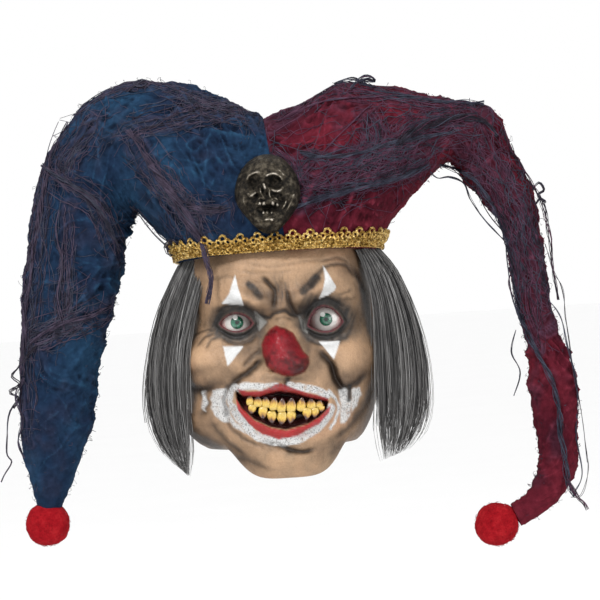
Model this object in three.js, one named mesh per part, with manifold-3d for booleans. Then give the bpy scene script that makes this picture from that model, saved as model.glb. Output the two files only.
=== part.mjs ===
// A jester mask: a hollow rubber clown head under a cloth cap with two long horns.
// Millimetres, +Z up. The face looks along -Y and +X is on the viewer's right.
// The origin is inside the crown, where the top of the wearer's head touches the rubber.
import * as THREE from "three";
import { ParametricGeometry } from "three/addons/geometries/ParametricGeometry.js";
import { mergeVertices } from "three/addons/utils/BufferGeometryUtils.js";
import Module from "manifold-3d";

const wasm = await Module();
wasm.setup();

// Driving sizes of the rubber head
const headWidth = 191; // across the cheeks
const foreheadReach = 96; // from the head's axis to the forehead
const napeReach = 98; // from the head's axis to the back of the head
const faceDrop = 273; // from the crown down to the underside of the chin
const neckShift = -9; // the soft neck leans this far to one side of the head's axis
const rubberWall = 2.5;
const fitGap = 0.4; // between pieces that touch

// Driving sizes of the cap
const brimDrop = 0.19 * faceDrop; // from the crown down to the cap's edge at the temples
const brimPitch = 2; // degrees by which the edge rises towards the forehead
const crownDepth = napeReach + 9; // half the cap's size from front to back
const crownRise = 132; // from the crown up to the top of the horns
const leftReach = 266; // sideways from the head's axis to the outside of each horn
const rightReach = 290;
const leftDrop = 284; // from the crown down to the horn's end
const rightDrop = 320;
const clothWall = 2.5;
const pompomWidth = 45;
const pompomBite = 6; // how deep a horn's end sits in its pompom

// Driving sizes of what is on the head and the cap
const eyeSpacing = 83;
const eyeDrop = 0.418 * faceDrop;
const irisDomeRadius = 20;
const irisDomeRim = 17;
const leftEyeOpening = { wide: 29, high: 16 };
const rightEyeOpening = { wide: 33, high: 21 };
const sightHole = { out: 19, drop: eyeDrop + 3, wide: 10, high: 9 };
const mouthDrop = 0.733 * faceDrop;
const mouthTilt = -7; // degrees, its right corner lower
const gumReach = 40; // from the middle of the mouth to the last tooth
const toothPitch = 8.8;
const toothHeight = 12;
const earHeight = 62;
const earWidth = 46;
const earDrop = 0.425 * faceDrop;
const badgeWidth = 66;
const badgeHeight = 76;
const badgeRise = 3; // its middle above the crown's origin
const badgeTurn = -2; // degrees towards the blue half
const badgeRelief = 20;
const braidBand = 10; // the woven band of the gold trim
const braidScallop = 8; // how far its scallops stand above the band
const braidThickness = 2.4;
const braidPitch = 16;
const gauzeThickness = 1.2;
const gauzeLift = 2.6;
const hairLength = 0.75 * faceDrop;
const hairSpread = { left: 25, right: 33 }; // how far the hair bows out from the head's sides

// How finely the rings of each lofted form are divided
const headColumns = 28;
const headRings = 25;
const capColumns = 18;
const capLiningColumns = 10;
const capRings = 27;

const { degToRad, clamp, smoothstep, lerp } = THREE.MathUtils;
const vec = (x, y, z) => new THREE.Vector3(x, y, z);

// Rings of the head from the crown down to the neck's rim. Down and dip are shares of faceDrop,
// wide of half the headWidth, front of foreheadReach and back of napeReach.
// Dip is how much lower a ring hangs at the front, under the chin.
const headSections = [
  { down: -0.009, wide: 0.0, front: 0.0, back: 0.0, dip: 0.0 },
  { down: 0.02, wide: 0.5, front: 0.5, back: 0.5, dip: 0.0 },
  { down: 0.09, wide: 0.79, front: 0.8, back: 0.82, dip: 0.0 },
  { down: 0.19, wide: 0.92, front: 0.95, back: 0.97, dip: 0.0 },
  { down: 0.27, wide: 0.95, front: 1.0, back: 1.0, dip: 0.0 },
  { down: 0.34, wide: 0.96, front: 1.03, back: 1.0, dip: 0.0 },
  { down: 0.42, wide: 0.94, front: 0.97, back: 0.99, dip: 0.0 },
  { down: 0.49, wide: 0.95, front: 0.95, back: 0.97, dip: 0.0 },
  { down: 0.56, wide: 0.98, front: 0.97, back: 0.94, dip: 0.0 },
  { down: 0.64, wide: 0.97, front: 1.0, back: 0.9, dip: 0.0 },
  { down: 0.72, wide: 0.94, front: 1.02, back: 0.87, dip: 0.01 },
  { down: 0.79, wide: 0.9, front: 1.03, back: 0.85, dip: 0.03 },
  { down: 0.84, wide: 0.86, front: 1.03, back: 0.83, dip: 0.07 },
  { down: 0.86, wide: 0.82, front: 0.98, back: 0.81, dip: 0.11 },
  { down: 0.87, wide: 0.77, front: 0.8, back: 0.79, dip: 0.08 },
];

// Raised and sunken forms of the face. Across and wide are shares of half the headWidth,
// down and high of faceDrop, out of foreheadReach; side is 1 where the form has a twin.
const faceForms = [
  { name: "brow", across: 0.42, down: 0.345, wide: 0.3, high: 0.05, out: 0.1, side: 1 },
  { name: "frown", across: 0.0, down: 0.39, wide: 0.1, high: 0.06, out: -0.03, side: 0 },
  { name: "socket", across: 0.46, down: 0.425, wide: 0.27, high: 0.06, out: -0.15, side: 1 },
  { name: "bridge", across: 0.02, down: 0.47, wide: 0.1, high: 0.07, out: 0.14, side: 0 },
  { name: "nose", across: 0.04, down: 0.535, wide: 0.2, high: 0.075, out: 0.38, side: 0 },
  { name: "nostril", across: 0.16, down: 0.585, wide: 0.11, high: 0.03, out: 0.1, side: 1 },
  { name: "cheek", across: 0.78, down: 0.54, wide: 0.24, high: 0.085, out: 0.14, side: 1 },
  { name: "hollow", across: 0.8, down: 0.69, wide: 0.22, high: 0.07, out: -0.08, side: 1 },
  { name: "muzzle", across: -0.03, down: 0.733, wide: 0.6, high: 0.14, out: 0.22, side: 0 },
  { name: "mouth", across: -0.03, down: 0.733, wide: 0.43, high: 0.08, out: -0.3, side: 0 },
  { name: "lower_lip", across: -0.06, down: 0.835, wide: 0.3, high: 0.025, out: 0.06, side: 0 },
  { name: "chin", across: 0.02, down: 0.93, wide: 0.3, high: 0.07, out: 0.08, side: 0 },
];

// Sections of each horn from the cap's middle seam to the tip. Under and over are the two edges
// that the section reaches in the front view, and deep is half its size from front to back.
// X is a share of the horn's reach. Z is a share of crownRise above the origin and of the
// horn's drop below it. Deep is a share of crownDepth.
const leftSections = [
  { underX: -0.075, underZ: -0.45, overX: 0.018, overZ: 0.665, deep: 1.0 },
  { underX: 0.2, underZ: -0.45, overX: 0.13, overZ: 0.79, deep: 0.93 },
  { underX: 0.35, underZ: -0.225, overX: 0.28, overZ: 0.95, deep: 0.86 },
  { underX: 0.415, underZ: -0.1, overX: 0.43, overZ: 1.0, deep: 0.74 },
  { underX: 0.49, underZ: -0.02, overX: 0.55, overZ: 0.98, deep: 0.64 },
  { underX: 0.51, underZ: 0.0, overX: 0.68, overZ: 0.87, deep: 0.56 },
  { underX: 0.52, underZ: -0.01, overX: 0.78, overZ: 0.65, deep: 0.52 },
  { underX: 0.53, underZ: -0.03, overX: 0.86, overZ: 0.4, deep: 0.49 },
  { underX: 0.545, underZ: -0.06, overX: 0.91, overZ: 0.15, deep: 0.47 },
  { underX: 0.57, underZ: -0.14, overX: 0.945, overZ: -0.115, deep: 0.46 },
  { underX: 0.605, underZ: -0.28, overX: 0.97, overZ: -0.275, deep: 0.45 },
  { underX: 0.64, underZ: -0.4, overX: 0.985, overZ: -0.43, deep: 0.43 },
  { underX: 0.69, underZ: -0.54, overX: 0.995, overZ: -0.59, deep: 0.39 },
  { underX: 0.73, underZ: -0.71, overX: 1.0, overZ: -0.73, deep: 0.34 },
  { underX: 0.77, underZ: -0.82, overX: 0.995, overZ: -0.84, deep: 0.28 },
  { underX: 0.815, underZ: -0.92, overX: 0.985, overZ: -0.925, deep: 0.21 },
  { underX: 0.86, underZ: -1.01, overX: 0.965, overZ: -1.015, deep: 0.14 },
];
const rightSections = [
  { underX: 0.069, underZ: -0.4, overX: -0.0165, overZ: 0.665, deep: 1.0 },
  { underX: 0.175, underZ: -0.4, overX: 0.12, overZ: 0.76, deep: 0.93 },
  { underX: 0.325, underZ: -0.2, overX: 0.27, overZ: 0.9, deep: 0.85 },
  { underX: 0.39, underZ: -0.09, overX: 0.42, overZ: 0.86, deep: 0.68 },
  { underX: 0.47, underZ: -0.01, overX: 0.56, overZ: 0.77, deep: 0.54 },
  { underX: 0.535, underZ: 0.11, overX: 0.68, overZ: 0.7, deep: 0.44 },
  { underX: 0.58, underZ: 0.2, overX: 0.745, overZ: 0.65, deep: 0.38 },
  { underX: 0.605, underZ: 0.215, overX: 0.795, overZ: 0.52, deep: 0.34 },
  { underX: 0.63, underZ: 0.18, overX: 0.83, overZ: 0.3, deep: 0.31 },
  { underX: 0.665, underZ: 0.06, overX: 0.875, overZ: 0.07, deep: 0.29 },
  { underX: 0.716, underZ: -0.04, overX: 0.91, overZ: -0.06, deep: 0.27 },
  { underX: 0.765, underZ: -0.1, overX: 0.925, overZ: -0.15, deep: 0.25 },
  { underX: 0.787, underZ: -0.18, overX: 0.93, overZ: -0.235, deep: 0.23 },
  { underX: 0.797, underZ: -0.31, overX: 0.93, overZ: -0.35, deep: 0.22 },
  { underX: 0.815, underZ: -0.41, overX: 0.95, overZ: -0.43, deep: 0.22 },
  { underX: 0.833, underZ: -0.51, overX: 0.98, overZ: -0.51, deep: 0.22 },
  { underX: 0.842, underZ: -0.61, overX: 1.0, overZ: -0.61, deep: 0.23 },
  { underX: 0.845, underZ: -0.71, overX: 1.0, overZ: -0.71, deep: 0.22 },
  { underX: 0.85, underZ: -0.79, overX: 0.995, overZ: -0.8, deep: 0.21 },
  { underX: 0.85, underZ: -0.86, overX: 0.98, overZ: -0.88, deep: 0.19 },
  { underX: 0.83, underZ: -0.91, overX: 0.935, overZ: -0.955, deep: 0.16 },
  { underX: 0.795, underZ: -0.95, overX: 0.865, overZ: -1.015, deep: 0.13 },
  { underX: 0.745, underZ: -0.98, overX: 0.78, overZ: -1.055, deep: 0.105 },
];

// Broad folds of the cloth, which wind round a horn. At and lean are counted in sections, around
// in degrees from the horn's upper edge towards the front, and high is a share of clothWall.
const leftFolds = [
  { at: 3.2, lean: 0.5, around: 80, high: -1.6, wide: 0.35 },
  { at: 5.6, lean: -0.7, around: 120, high: 1.6, wide: 0.4 },
  { at: 8.6, lean: 0.6, around: 60, high: -1.6, wide: 0.35 },
  { at: 10.8, lean: -0.5, around: 100, high: 1.6, wide: 0.35 },
  { at: 12.6, lean: 0.5, around: 90, high: -1.4, wide: 0.3 },
  { at: 14.2, lean: -0.4, around: 60, high: 1.2, wide: 0.3 },
];
const rightFolds = [
  { at: 2.8, lean: 0.4, around: 110, high: -1.6, wide: 0.35 },
  { at: 4.6, lean: -0.6, around: 70, high: 1.4, wide: 0.4 },
  { at: 8.4, lean: 0.5, around: 90, high: -1.2, wide: 0.4 },
  { at: 12.6, lean: 0.5, around: 70, high: 1.2, wide: 0.4 },
  { at: 16.4, lean: -0.5, around: 90, high: -1.2, wide: 0.4 },
  { at: 19.4, lean: 0.4, around: 110, high: 1.2, wide: 0.35 },
];

// Torn gauze: strips that run along a horn from one section to another, turning round it.
// From and to are sections, start and end are degrees from the horn's upper edge towards the
// front, and wide is in strips of gauzeStrip.
const gauzeStrip = 13;
const leftGauze = [
  { from: 1.2, to: 14.5, start: 25, end: 20, wide: 1 },
  { from: 2.2, to: 7.4, start: 12, end: 150, wide: 1 },
  { from: 7.0, to: 13.8, start: 150, end: 10, wide: 1 },
  { from: 1.1, to: 12.5, start: 26, end: -70, wide: 1 },
];
const rightGauze = [
  { from: 1.0, to: 9.6, start: 22, end: 30, wide: 1 },
  { from: 1.0, to: 8.6, start: 118, end: 84, wide: 1 },
  { from: 3.4, to: 12.8, start: 28, end: 140, wide: 0.8 },
  { from: 6.2, to: 17.2, start: 104, end: 20, wide: 0.8 },
  { from: 0.9, to: 12.6, start: 24, end: -70, wide: 1 },
];

// Locks of hair on one side. Root is the angle from the nose in degrees, bow a share of
// its side's hairSpread, fall a share of hairLength and thick a share of lockRadius.
const lockRadius = 9;
const hairLocks = [
  { root: 60, bow: 0.1, fall: 0.93, thick: 0.85 },
  { root: 67, bow: 0.4, fall: 1.0, thick: 1.0 },
  { root: 74, bow: 0.75, fall: 0.97, thick: 1.1 },
  { root: 81, bow: 1.0, fall: 0.85, thick: 1.0 },
];

// One row of a table at a fractional place, each column a smooth curve through its values.
function rowAt(rows, place) {
  const last = rows.length - 1;
  const here = clamp(Math.floor(place), 0, last - 1);
  const t = place - here;
  const near = [-1, 0, 1, 2].map((step) => rows[clamp(here + step, 0, last)]);
  const curve = (name) => {
    const [a, b, c, d] = near.map((row) => row[name]);
    const bend = (2 * a - 5 * b + 4 * c - d) * t * t + (3 * b - a - 3 * c + d) * t ** 3;
    return b + 0.5 * ((c - a) * t + bend);
  };
  const names = Object.keys(rows[0]).filter((name) => typeof rows[0][name] === "number");
  return Object.fromEntries(names.map((name) => [name, curve(name)]));
}

// A three.js geometry as a solid that can be cut and joined.
function solidFrom(geometry) {
  const bare = geometry.clone();
  bare.deleteAttribute("normal");
  bare.deleteAttribute("uv");
  const merged = mergeVertices(bare, 1e-4);
  const corners = [];
  for (let i = 0; i < merged.index.count; i += 3) {
    const [a, b, c] = [0, 1, 2].map((k) => merged.index.getX(i + k));
    if (a !== b && b !== c && c !== a) corners.push([a, b, c]);
  }
  const made = (triangles) =>
    new wasm.Manifold(
      new wasm.Mesh({
        numProp: 3,
        vertProperties: merged.attributes.position.array,
        triVerts: new Uint32Array(triangles.flat()),
      }),
    );
  const solid = made(corners);
  return solid.volume() > 0 ? solid : made(corners.map(([a, b, c]) => [a, c, b]));
}

// A closed form through rings of points; point(i, j) is point i of ring j.
function loft(columns, rings, point) {
  const skin = new ParametricGeometry(
    (u, v, target) => {
      target.copy(point(Math.round(u * columns) % columns, Math.round(v * (rings - 1))));
    },
    columns,
    rings - 1,
  );
  return solidFrom(skin);
}

// The largest of the bodies that a cut leaves; the others are slivers.
function mainBody(solid) {
  return solid.decompose().reduce((best, body) => (body.volume() > best.volume() ? body : best));
}

function geometryOf(solid) {
  const { numProp, numVert, vertProperties, triVerts } = solid.getMesh();
  const points = new Float32Array(numVert * 3);
  for (let i = 0; i < numVert; i++) {
    points.set(vertProperties.subarray(i * numProp, i * numProp + 3), i * 3);
  }
  const geometry = new THREE.BufferGeometry();
  geometry.setAttribute("position", new THREE.BufferAttribute(points, 3));
  geometry.setIndex(new THREE.BufferAttribute(triVerts, 1));
  geometry.computeVertexNormals();
  return geometry;
}

function meshOf(name, solid, material) {
  const mesh = new THREE.Mesh(geometryOf(solid), material);
  mesh.name = name;
  return mesh;
}

// A flat outline in the front view, pushed through from front to back.
function punch(shape, x, z, front, back) {
  const bar = new THREE.ExtrudeGeometry(shape, {
    depth: back - front,
    bevelEnabled: false,
    curveSegments: 5,
  });
  bar.rotateX(Math.PI / 2);
  bar.translate(x, back, z);
  return solidFrom(bar);
}

// How far the first surface met lies from a point in a direction.
function reachTo(target, from, towards) {
  const ray = new THREE.Raycaster(from, towards.clone().normalize());
  const [hit] = ray.intersectObject(target, false);
  return hit ? hit.distance : null;
}

const bothSides = new THREE.MeshBasicMaterial({ side: THREE.DoubleSide });

// The rubber head

function faceRelief(x, z, facing) {
  const half = headWidth / 2;
  let out = 0;
  for (const form of faceForms) {
    const sides = form.side ? [-1, 1] : [1];
    for (const side of sides) {
      const across = (x - side * form.across * half) / (form.wide * half);
      const down = (z + form.down * faceDrop) / (form.high * faceDrop);
      out += form.out * foreheadReach * Math.exp(-(across ** 2) - down ** 2);
    }
  }
  return out * smoothstep(facing, 0, 0.35);
}

// A point of the head's outside; turn is the angle from the nose towards +X.
function headPoint(place, turn) {
  const section = rowAt(headSections, place);
  const facing = Math.cos(turn);
  const squareness = 0.88;
  const across = Math.sign(Math.sin(turn)) * Math.abs(Math.sin(turn)) ** squareness;
  const ahead = Math.sign(facing) * Math.abs(facing) ** squareness;
  const reach = facing > 0 ? section.front * foreheadReach : section.back * napeReach;
  const lean = neckShift * smoothstep(section.down, 0.6, 0.88);
  const x = section.wide * (headWidth / 2) * across;
  const dip = section.dip * smoothstep(facing, 0.3, 1);
  const z = -(section.down + dip) * faceDrop;
  const relief = faceRelief(x, z, facing);
  return vec(x + relief * across * 0.45 + lean * (1 - facing) * 0.7, -reach * ahead - relief * ahead, z);
}

// Angles are closer together over the face than over the back of the head.
function headTurn(column) {
  const share = column / headColumns - 0.5;
  return 2 * Math.PI * share - 0.65 * Math.sin(2 * Math.PI * share);
}

const headRingPlace = (ring) => (ring / (headRings - 1)) * (headSections.length - 1);

const headGrid = [];
for (let ring = 0; ring < headRings; ring++) {
  const row = [];
  for (let column = 0; column < headColumns; column++) {
    row.push(headPoint(headRingPlace(ring), headTurn(column)));
  }
  headGrid.push(row);
}

// Which way the rubber faces at a point of the grid.
function headNormal(ring, column) {
  if (ring === 0) return vec(0, 0, 1);
  const along = headGrid[Math.min(ring + 1, headRings - 1)][column]
    .clone()
    .sub(headGrid[ring - 1][column]);
  const right = headGrid[ring][(column + 1) % headColumns];
  const left = headGrid[ring][(column + headColumns - 1) % headColumns];
  return along.cross(right.clone().sub(left)).normalize();
}

const headNormals = headGrid.map((row, ring) => row.map((_, column) => headNormal(ring, column)));

const offHead = (ring, column, out) =>
  headGrid[ring][column].clone().addScaledVector(headNormals[ring][column], out);

// The wall of the head, made thicker by growth on both faces.
function headWall(growth) {
  return loft(headColumns, 2 * headRings, (column, ring) =>
    ring < headRings
      ? offHead(ring, column, growth)
      : offHead(2 * headRings - 1 - ring, column, -rubberWall - growth),
  );
}

// The head filled in down to its rim.
function headForm(growth) {
  const rimMiddle = vec(neckShift, 0, 0);
  for (const point of headGrid[headRings - 1]) rimMiddle.z += point.z / headColumns;
  return loft(headColumns, headRings + 1, (column, ring) =>
    ring < headRings ? offHead(ring, column, growth) : rimMiddle,
  );
}

const headProbe = new THREE.Mesh(geometryOf(headForm(0)), bothSides);
const farAhead = 2 * foreheadReach;

function faceFront(x, z) {
  const distance = reachTo(headProbe, vec(x, -farAhead, z), vec(0, 1, 0));
  return distance === null ? -foreheadReach : distance - farAhead;
}

// The opening between two eyelids.
function lidOpening({ wide, high }, growth) {
  const half = wide / 2 + growth;
  const lift = high / 2 + growth;
  const lids = new THREE.Shape();
  lids.moveTo(-half, 0);
  lids.bezierCurveTo(-half * 0.6, lift * 1.3, half * 0.6, lift * 1.3, half, 0);
  lids.bezierCurveTo(half * 0.6, -lift * 1.3, -half * 0.6, -lift * 1.3, -half, 0);
  return lids;
}

// The small slit beside the nose that the wearer looks through.
function sightOpening(side) {
  const half = (side * sightHole.wide) / 2;
  const lift = sightHole.high / 2;
  const hole = new THREE.Shape();
  hole.moveTo(-half, -lift * 0.8);
  hole.lineTo(half, -lift * 0.4);
  hole.lineTo(half, lift * 0.5);
  hole.lineTo(-half * 0.8, lift);
  hole.closePath();
  return hole;
}

const eyeOpenings = [
  { name: "left_eye", side: -1, size: leftEyeOpening },
  { name: "right_eye", side: 1, size: rightEyeOpening },
];

function cutOpenings(wall) {
  let cut = wall;
  for (const { side, size } of eyeOpenings) {
    const lids = lidOpening(size, 0);
    cut = cut.subtract(punch(lids, (side * eyeSpacing) / 2, -eyeDrop, -farAhead, 0));
    const hole = sightOpening(side);
    cut = cut.subtract(punch(hole, side * sightHole.out, -sightHole.drop, -farAhead, 0));
  }
  return cut;
}

const earThick = earWidth * 0.32;
const earOut = earWidth * 0.14; // from the side of the head to the middle of the ear
const earFlare = degToRad(38);

// An ear: a flattened bowl that flares from the side of the head.
function ear(side) {
  const place = (solid) => {
    solid.rotateZ(-side * earFlare);
    solid.translate(side * (headWidth / 2 + earOut), earWidth * 0.35, -earDrop);
    return solidFrom(solid);
  };
  const lobe = new THREE.SphereGeometry(1, 10, 7);
  lobe.scale(earThick / 2, earWidth / 2, earHeight / 2);
  const bowl = new THREE.SphereGeometry(1, 8, 5);
  bowl.scale(earThick * 0.35, earWidth * 0.3, earHeight * 0.32);
  bowl.translate(side * earThick * 0.5, -earWidth * 0.02, earHeight * 0.06);
  return place(lobe).subtract(place(bowl));
}

const headInside = headForm(-rubberWall / 2);
const earSolids = [-1, 1].map((side) => ear(side).subtract(headInside));

function maskShell() {
  return earSolids.reduce((shell, piece) => shell.add(piece), cutOpenings(headWall(0)));
}

// What has to be kept clear of the rubber is cut by a slightly larger copy of its wall,
// or of the whole head where it stays outside.
const shellRoom = cutOpenings(headWall(fitGap));
const headRoom = headForm(fitGap);

// A domed eye that sits behind its lids.
function eyeball({ side, size }) {
  const x = (side * eyeSpacing) / 2;
  const sag = irisDomeRadius - Math.sqrt(irisDomeRadius ** 2 - irisDomeRim ** 2);
  const arc = Math.asin(irisDomeRim / irisDomeRadius);
  const steps = 3;
  const profile = [];
  for (let i = 0; i <= steps; i++) {
    const angle = (arc * i) / steps;
    profile.push(
      new THREE.Vector2(
        irisDomeRadius * Math.sin(angle),
        irisDomeRadius * Math.cos(angle) - irisDomeRadius,
      ),
    );
  }
  profile[0].x = 0;
  profile.push(new THREE.Vector2(0, -sag));
  const dome = new THREE.LatheGeometry(profile, 12);
  dome.rotateX(Math.PI);
  const behindLids = rubberWall * 0.6 + size.high * 0.04;
  dome.translate(x, faceFront(x, -eyeDrop - size.high * 0.45) + behindLids, -eyeDrop);
  return solidFrom(dome).subtract(shellRoom);
}

// A row of teeth on its gum; facing is 1 for the upper row and -1 for the lower.
function teeth(facing, count, skipped) {
  const tilt = Math.tan(degToRad(mouthTilt));
  const middleX = faceForms.find((form) => form.name === "mouth").across * (headWidth / 2);
  const toRoot = facing * toothHeight * 0.42;
  // The middle of a tooth whose root stands on the rubber.
  const standing = (x) => {
    const smile = 0.004 * (x - middleX) ** 2;
    const z = -mouthDrop + (x - middleX) * tilt + smile + facing * toothHeight * 0.56;
    return vec(x, faceFront(x, z + toRoot) - toothPitch * 0.2, z);
  };
  const gumPoints = [-1, -0.5, 0, 0.5, 1].map((share) =>
    standing(middleX + share * gumReach).add(vec(0, 0, toRoot)),
  );
  const half = toothHeight * 0.2;
  const bar = new THREE.Shape();
  bar.moveTo(-half, -half);
  bar.lineTo(half, -half);
  bar.lineTo(half, half);
  bar.lineTo(-half, half);
  bar.closePath();
  const gum = new THREE.ExtrudeGeometry(bar, {
    steps: 4,
    bevelEnabled: false,
    extrudePath: new THREE.CatmullRomCurve3(gumPoints),
  });
  let row = solidFrom(gum);
  for (let i = 0; i < count; i++) {
    if (i === skipped) continue;
    const middle = standing(middleX + (i - (count - 1) / 2) * toothPitch);
    const root = toothPitch * 0.48;
    const crown = toothPitch * 0.62;
    const tooth = new THREE.CylinderGeometry(root, crown, toothHeight, 4);
    tooth.rotateY(Math.PI / 4);
    tooth.rotateX(facing > 0 ? Math.PI / 2 : -Math.PI / 2);
    tooth.translate(middle.x, middle.y, middle.z);
    row = row.add(solidFrom(tooth));
  }
  return row.subtract(headRoom);
}

// The cloth cap

const horns = {
  left: { side: -1, reach: leftReach, drop: leftDrop, sections: leftSections, folds: leftFolds },
  right: { side: 1, reach: rightReach, drop: rightDrop, sections: rightSections, folds: rightFolds },
};

// How far the folds lift the cloth. They fade out towards the brim and the seam.
function foldLift(horn, place, around) {
  let lift = 0;
  for (const fold of horn.folds) {
    const centre = fold.at + fold.lean * Math.cos(around - degToRad(fold.around));
    lift += fold.high * clothWall * Math.exp(-(((place - centre) / fold.wide) ** 2));
  }
  return lift * smoothstep(place, 1.6, 3);
}

// A point of a horn's outside, moved out by lift; around is the angle from its upper edge
// towards the front.
function hornPoint(horn, place, around, lift) {
  const row = rowAt(horn.sections, place);
  const height = (share) => share * (share > 0 ? crownRise : horn.drop);
  const under = vec(horn.side * row.underX * horn.reach, 0, height(row.underZ));
  const over = vec(horn.side * row.overX * horn.reach, 0, height(row.overZ));
  const middle = under.clone().add(over).multiplyScalar(0.5);
  const up = over.clone().sub(middle);
  const half = up.length();
  up.normalize();
  const swell = lift + foldLift(horn, place, around);
  const deep = row.deep * crownDepth;
  return middle
    .addScaledVector(up, (half + swell) * Math.cos(around))
    .add(vec(0, -(deep + swell) * Math.sin(around), 0));
}

const tipOf = (horn) => horn.sections.length - 1;

function hornMiddle(horn, place) {
  return hornPoint(horn, place, 0, 0).add(hornPoint(horn, place, Math.PI, 0)).multiplyScalar(0.5);
}

// A horn as a closed form, moved out by lift everywhere and pushed past the seam by seamPast.
function hornForm(horn, columns, lift, seamPast) {
  const tip = tipOf(horn);
  const past = vec(-horn.side * seamPast, 0, 0);
  const tipLength = lift < 0 ? lift : lift * 0.5;
  const end = hornMiddle(horn, tip);
  const alongTip = end.clone().sub(hornMiddle(horn, tip - 0.2)).normalize();
  return loft(columns, capRings + 2, (column, ring) => {
    if (ring === 0) return hornMiddle(horn, 0).add(past);
    if (ring === capRings + 1) return end.clone().addScaledVector(alongTip, tipLength);
    const place = ((ring - 1) / (capRings - 1)) * tip;
    const point = hornPoint(horn, place, (2 * Math.PI * column) / columns, lift);
    if (ring === 1) point.add(past);
    if (ring === capRings) point.addScaledVector(alongTip, tipLength);
    return point;
  });
}

// Everything below the cap's edge, which lies lift above or below the brim itself.
function belowBrim(lift) {
  const size = 4 * headWidth;
  const block = new THREE.BoxGeometry(2.4 * crownDepth, size, size);
  block.translate(0, 0, -size / 2 + lift);
  block.rotateX(-degToRad(brimPitch));
  block.translate(0, 0, -brimDrop);
  return solidFrom(block);
}

// The two halves meet here: a plane through the brim and the valley between the horns.
function seamSide(horn) {
  const top = hornPoint(horn, 0, 0, 0);
  const bottom = hornPoint(horn, 0, Math.PI, 0);
  const size = 8 * headWidth;
  const block = new THREE.BoxGeometry(size, size, size);
  block.translate((horn.side * size) / 2 + (horn.side * fitGap) / 2, 0, 0);
  block.rotateY(Math.atan2(top.x - bottom.x, top.z - bottom.z));
  block.translate(bottom.x, 0, bottom.z);
  return solidFrom(block);
}

const brimCut = belowBrim(0);
const seamOverlap = 6;
function capHalf(horn) {
  const outside = hornForm(horn, capColumns, 0, seamOverlap);
  const lining = hornForm(horn, capLiningColumns, -clothWall, 3 * seamOverlap);
  return outside
    .intersect(seamSide(horn))
    .subtract(lining)
    .subtract(brimCut)
    .subtract(headRoom);
}

// The outside of the whole cap, for what is fixed on it.
function capForm(lift) {
  const halves = Object.values(horns).map((horn) => hornForm(horn, capColumns, lift, seamOverlap));
  return halves[0].add(halves[1]);
}

const capProbe = new THREE.Mesh(geometryOf(capForm(0)), bothSides);
const capRoom = capForm(fitGap).subtract(belowBrim(-fitGap));

// A point outside the crown at a height above the brim, standing off the cloth.
function onCrown(turn, height, off) {
  const away = vec(Math.sin(turn), -Math.cos(turn), 0);
  const tilt = new THREE.Euler(-degToRad(brimPitch), 0, 0);
  away.applyEuler(tilt);
  const start = vec(0, 0, height).applyEuler(tilt);
  start.z -= brimDrop;
  const distance = reachTo(capProbe, start, away) ?? crownDepth;
  return start.addScaledVector(away, distance + off);
}

// The badge hangs over the braid, so it is cut away where the braid lies.
const braidRoom = capForm(braidThickness + 7 * fitGap).intersect(
  belowBrim(braidBand + braidScallop + 2 * fitGap),
);

// Gold trim round the brim: a woven band with a scalloped upper edge.
function braid() {
  const around = 2 * Math.PI * ((crownDepth + headWidth / 2) / 2);
  const scallops = Math.round(around / braidPitch);
  const segments = 2 * scallops;
  const inner = fitGap + 1.4;
  const outer = inner + braidThickness;
  const lowest = braidThickness * 0.3;
  const top = (column) => braidBand + (column % 2 ? braidScallop : 1);
  // Rows go up the outside and down the inside of the band.
  const heights = (column) => [lowest, braidBand, top(column), top(column), lowest];
  const rowCount = 5;
  const point = (column, row) => {
    const turn = (2 * Math.PI * column) / segments;
    return onCrown(turn, heights(column)[row], row < 3 ? outer : inner);
  };
  const band = new ParametricGeometry(
    (u, v, target) => {
      const column = Math.round(u * segments) % segments;
      target.copy(point(column, Math.round(v * rowCount) % rowCount));
    },
    segments,
    rowCount,
  );
  return solidFrom(band);
}

// The cast skull on the front of the crown. Its forms are shares of the badge's half sizes.
const skullForms = [
  { name: "eye", across: 0.4, up: 0.14, wide: 0.24, high: 0.2, out: -0.45, side: 1 },
  { name: "brow", across: 0.4, up: 0.38, wide: 0.3, high: 0.08, out: 0.16, side: 1 },
  { name: "nose", across: 0.0, up: -0.12, wide: 0.12, high: 0.14, out: -0.28, side: 0 },
  { name: "cheek", across: 0.56, up: -0.16, wide: 0.2, high: 0.1, out: 0.18, side: 1 },
  { name: "teeth", across: 0.0, up: -0.36, wide: 0.3, high: 0.06, out: 0.16, side: 0 },
  { name: "mouth", across: 0.0, up: -0.52, wide: 0.3, high: 0.09, out: -0.32, side: 0 },
  { name: "jaw", across: 0.0, up: -0.72, wide: 0.34, high: 0.1, out: 0.18, side: 0 },
];

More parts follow.
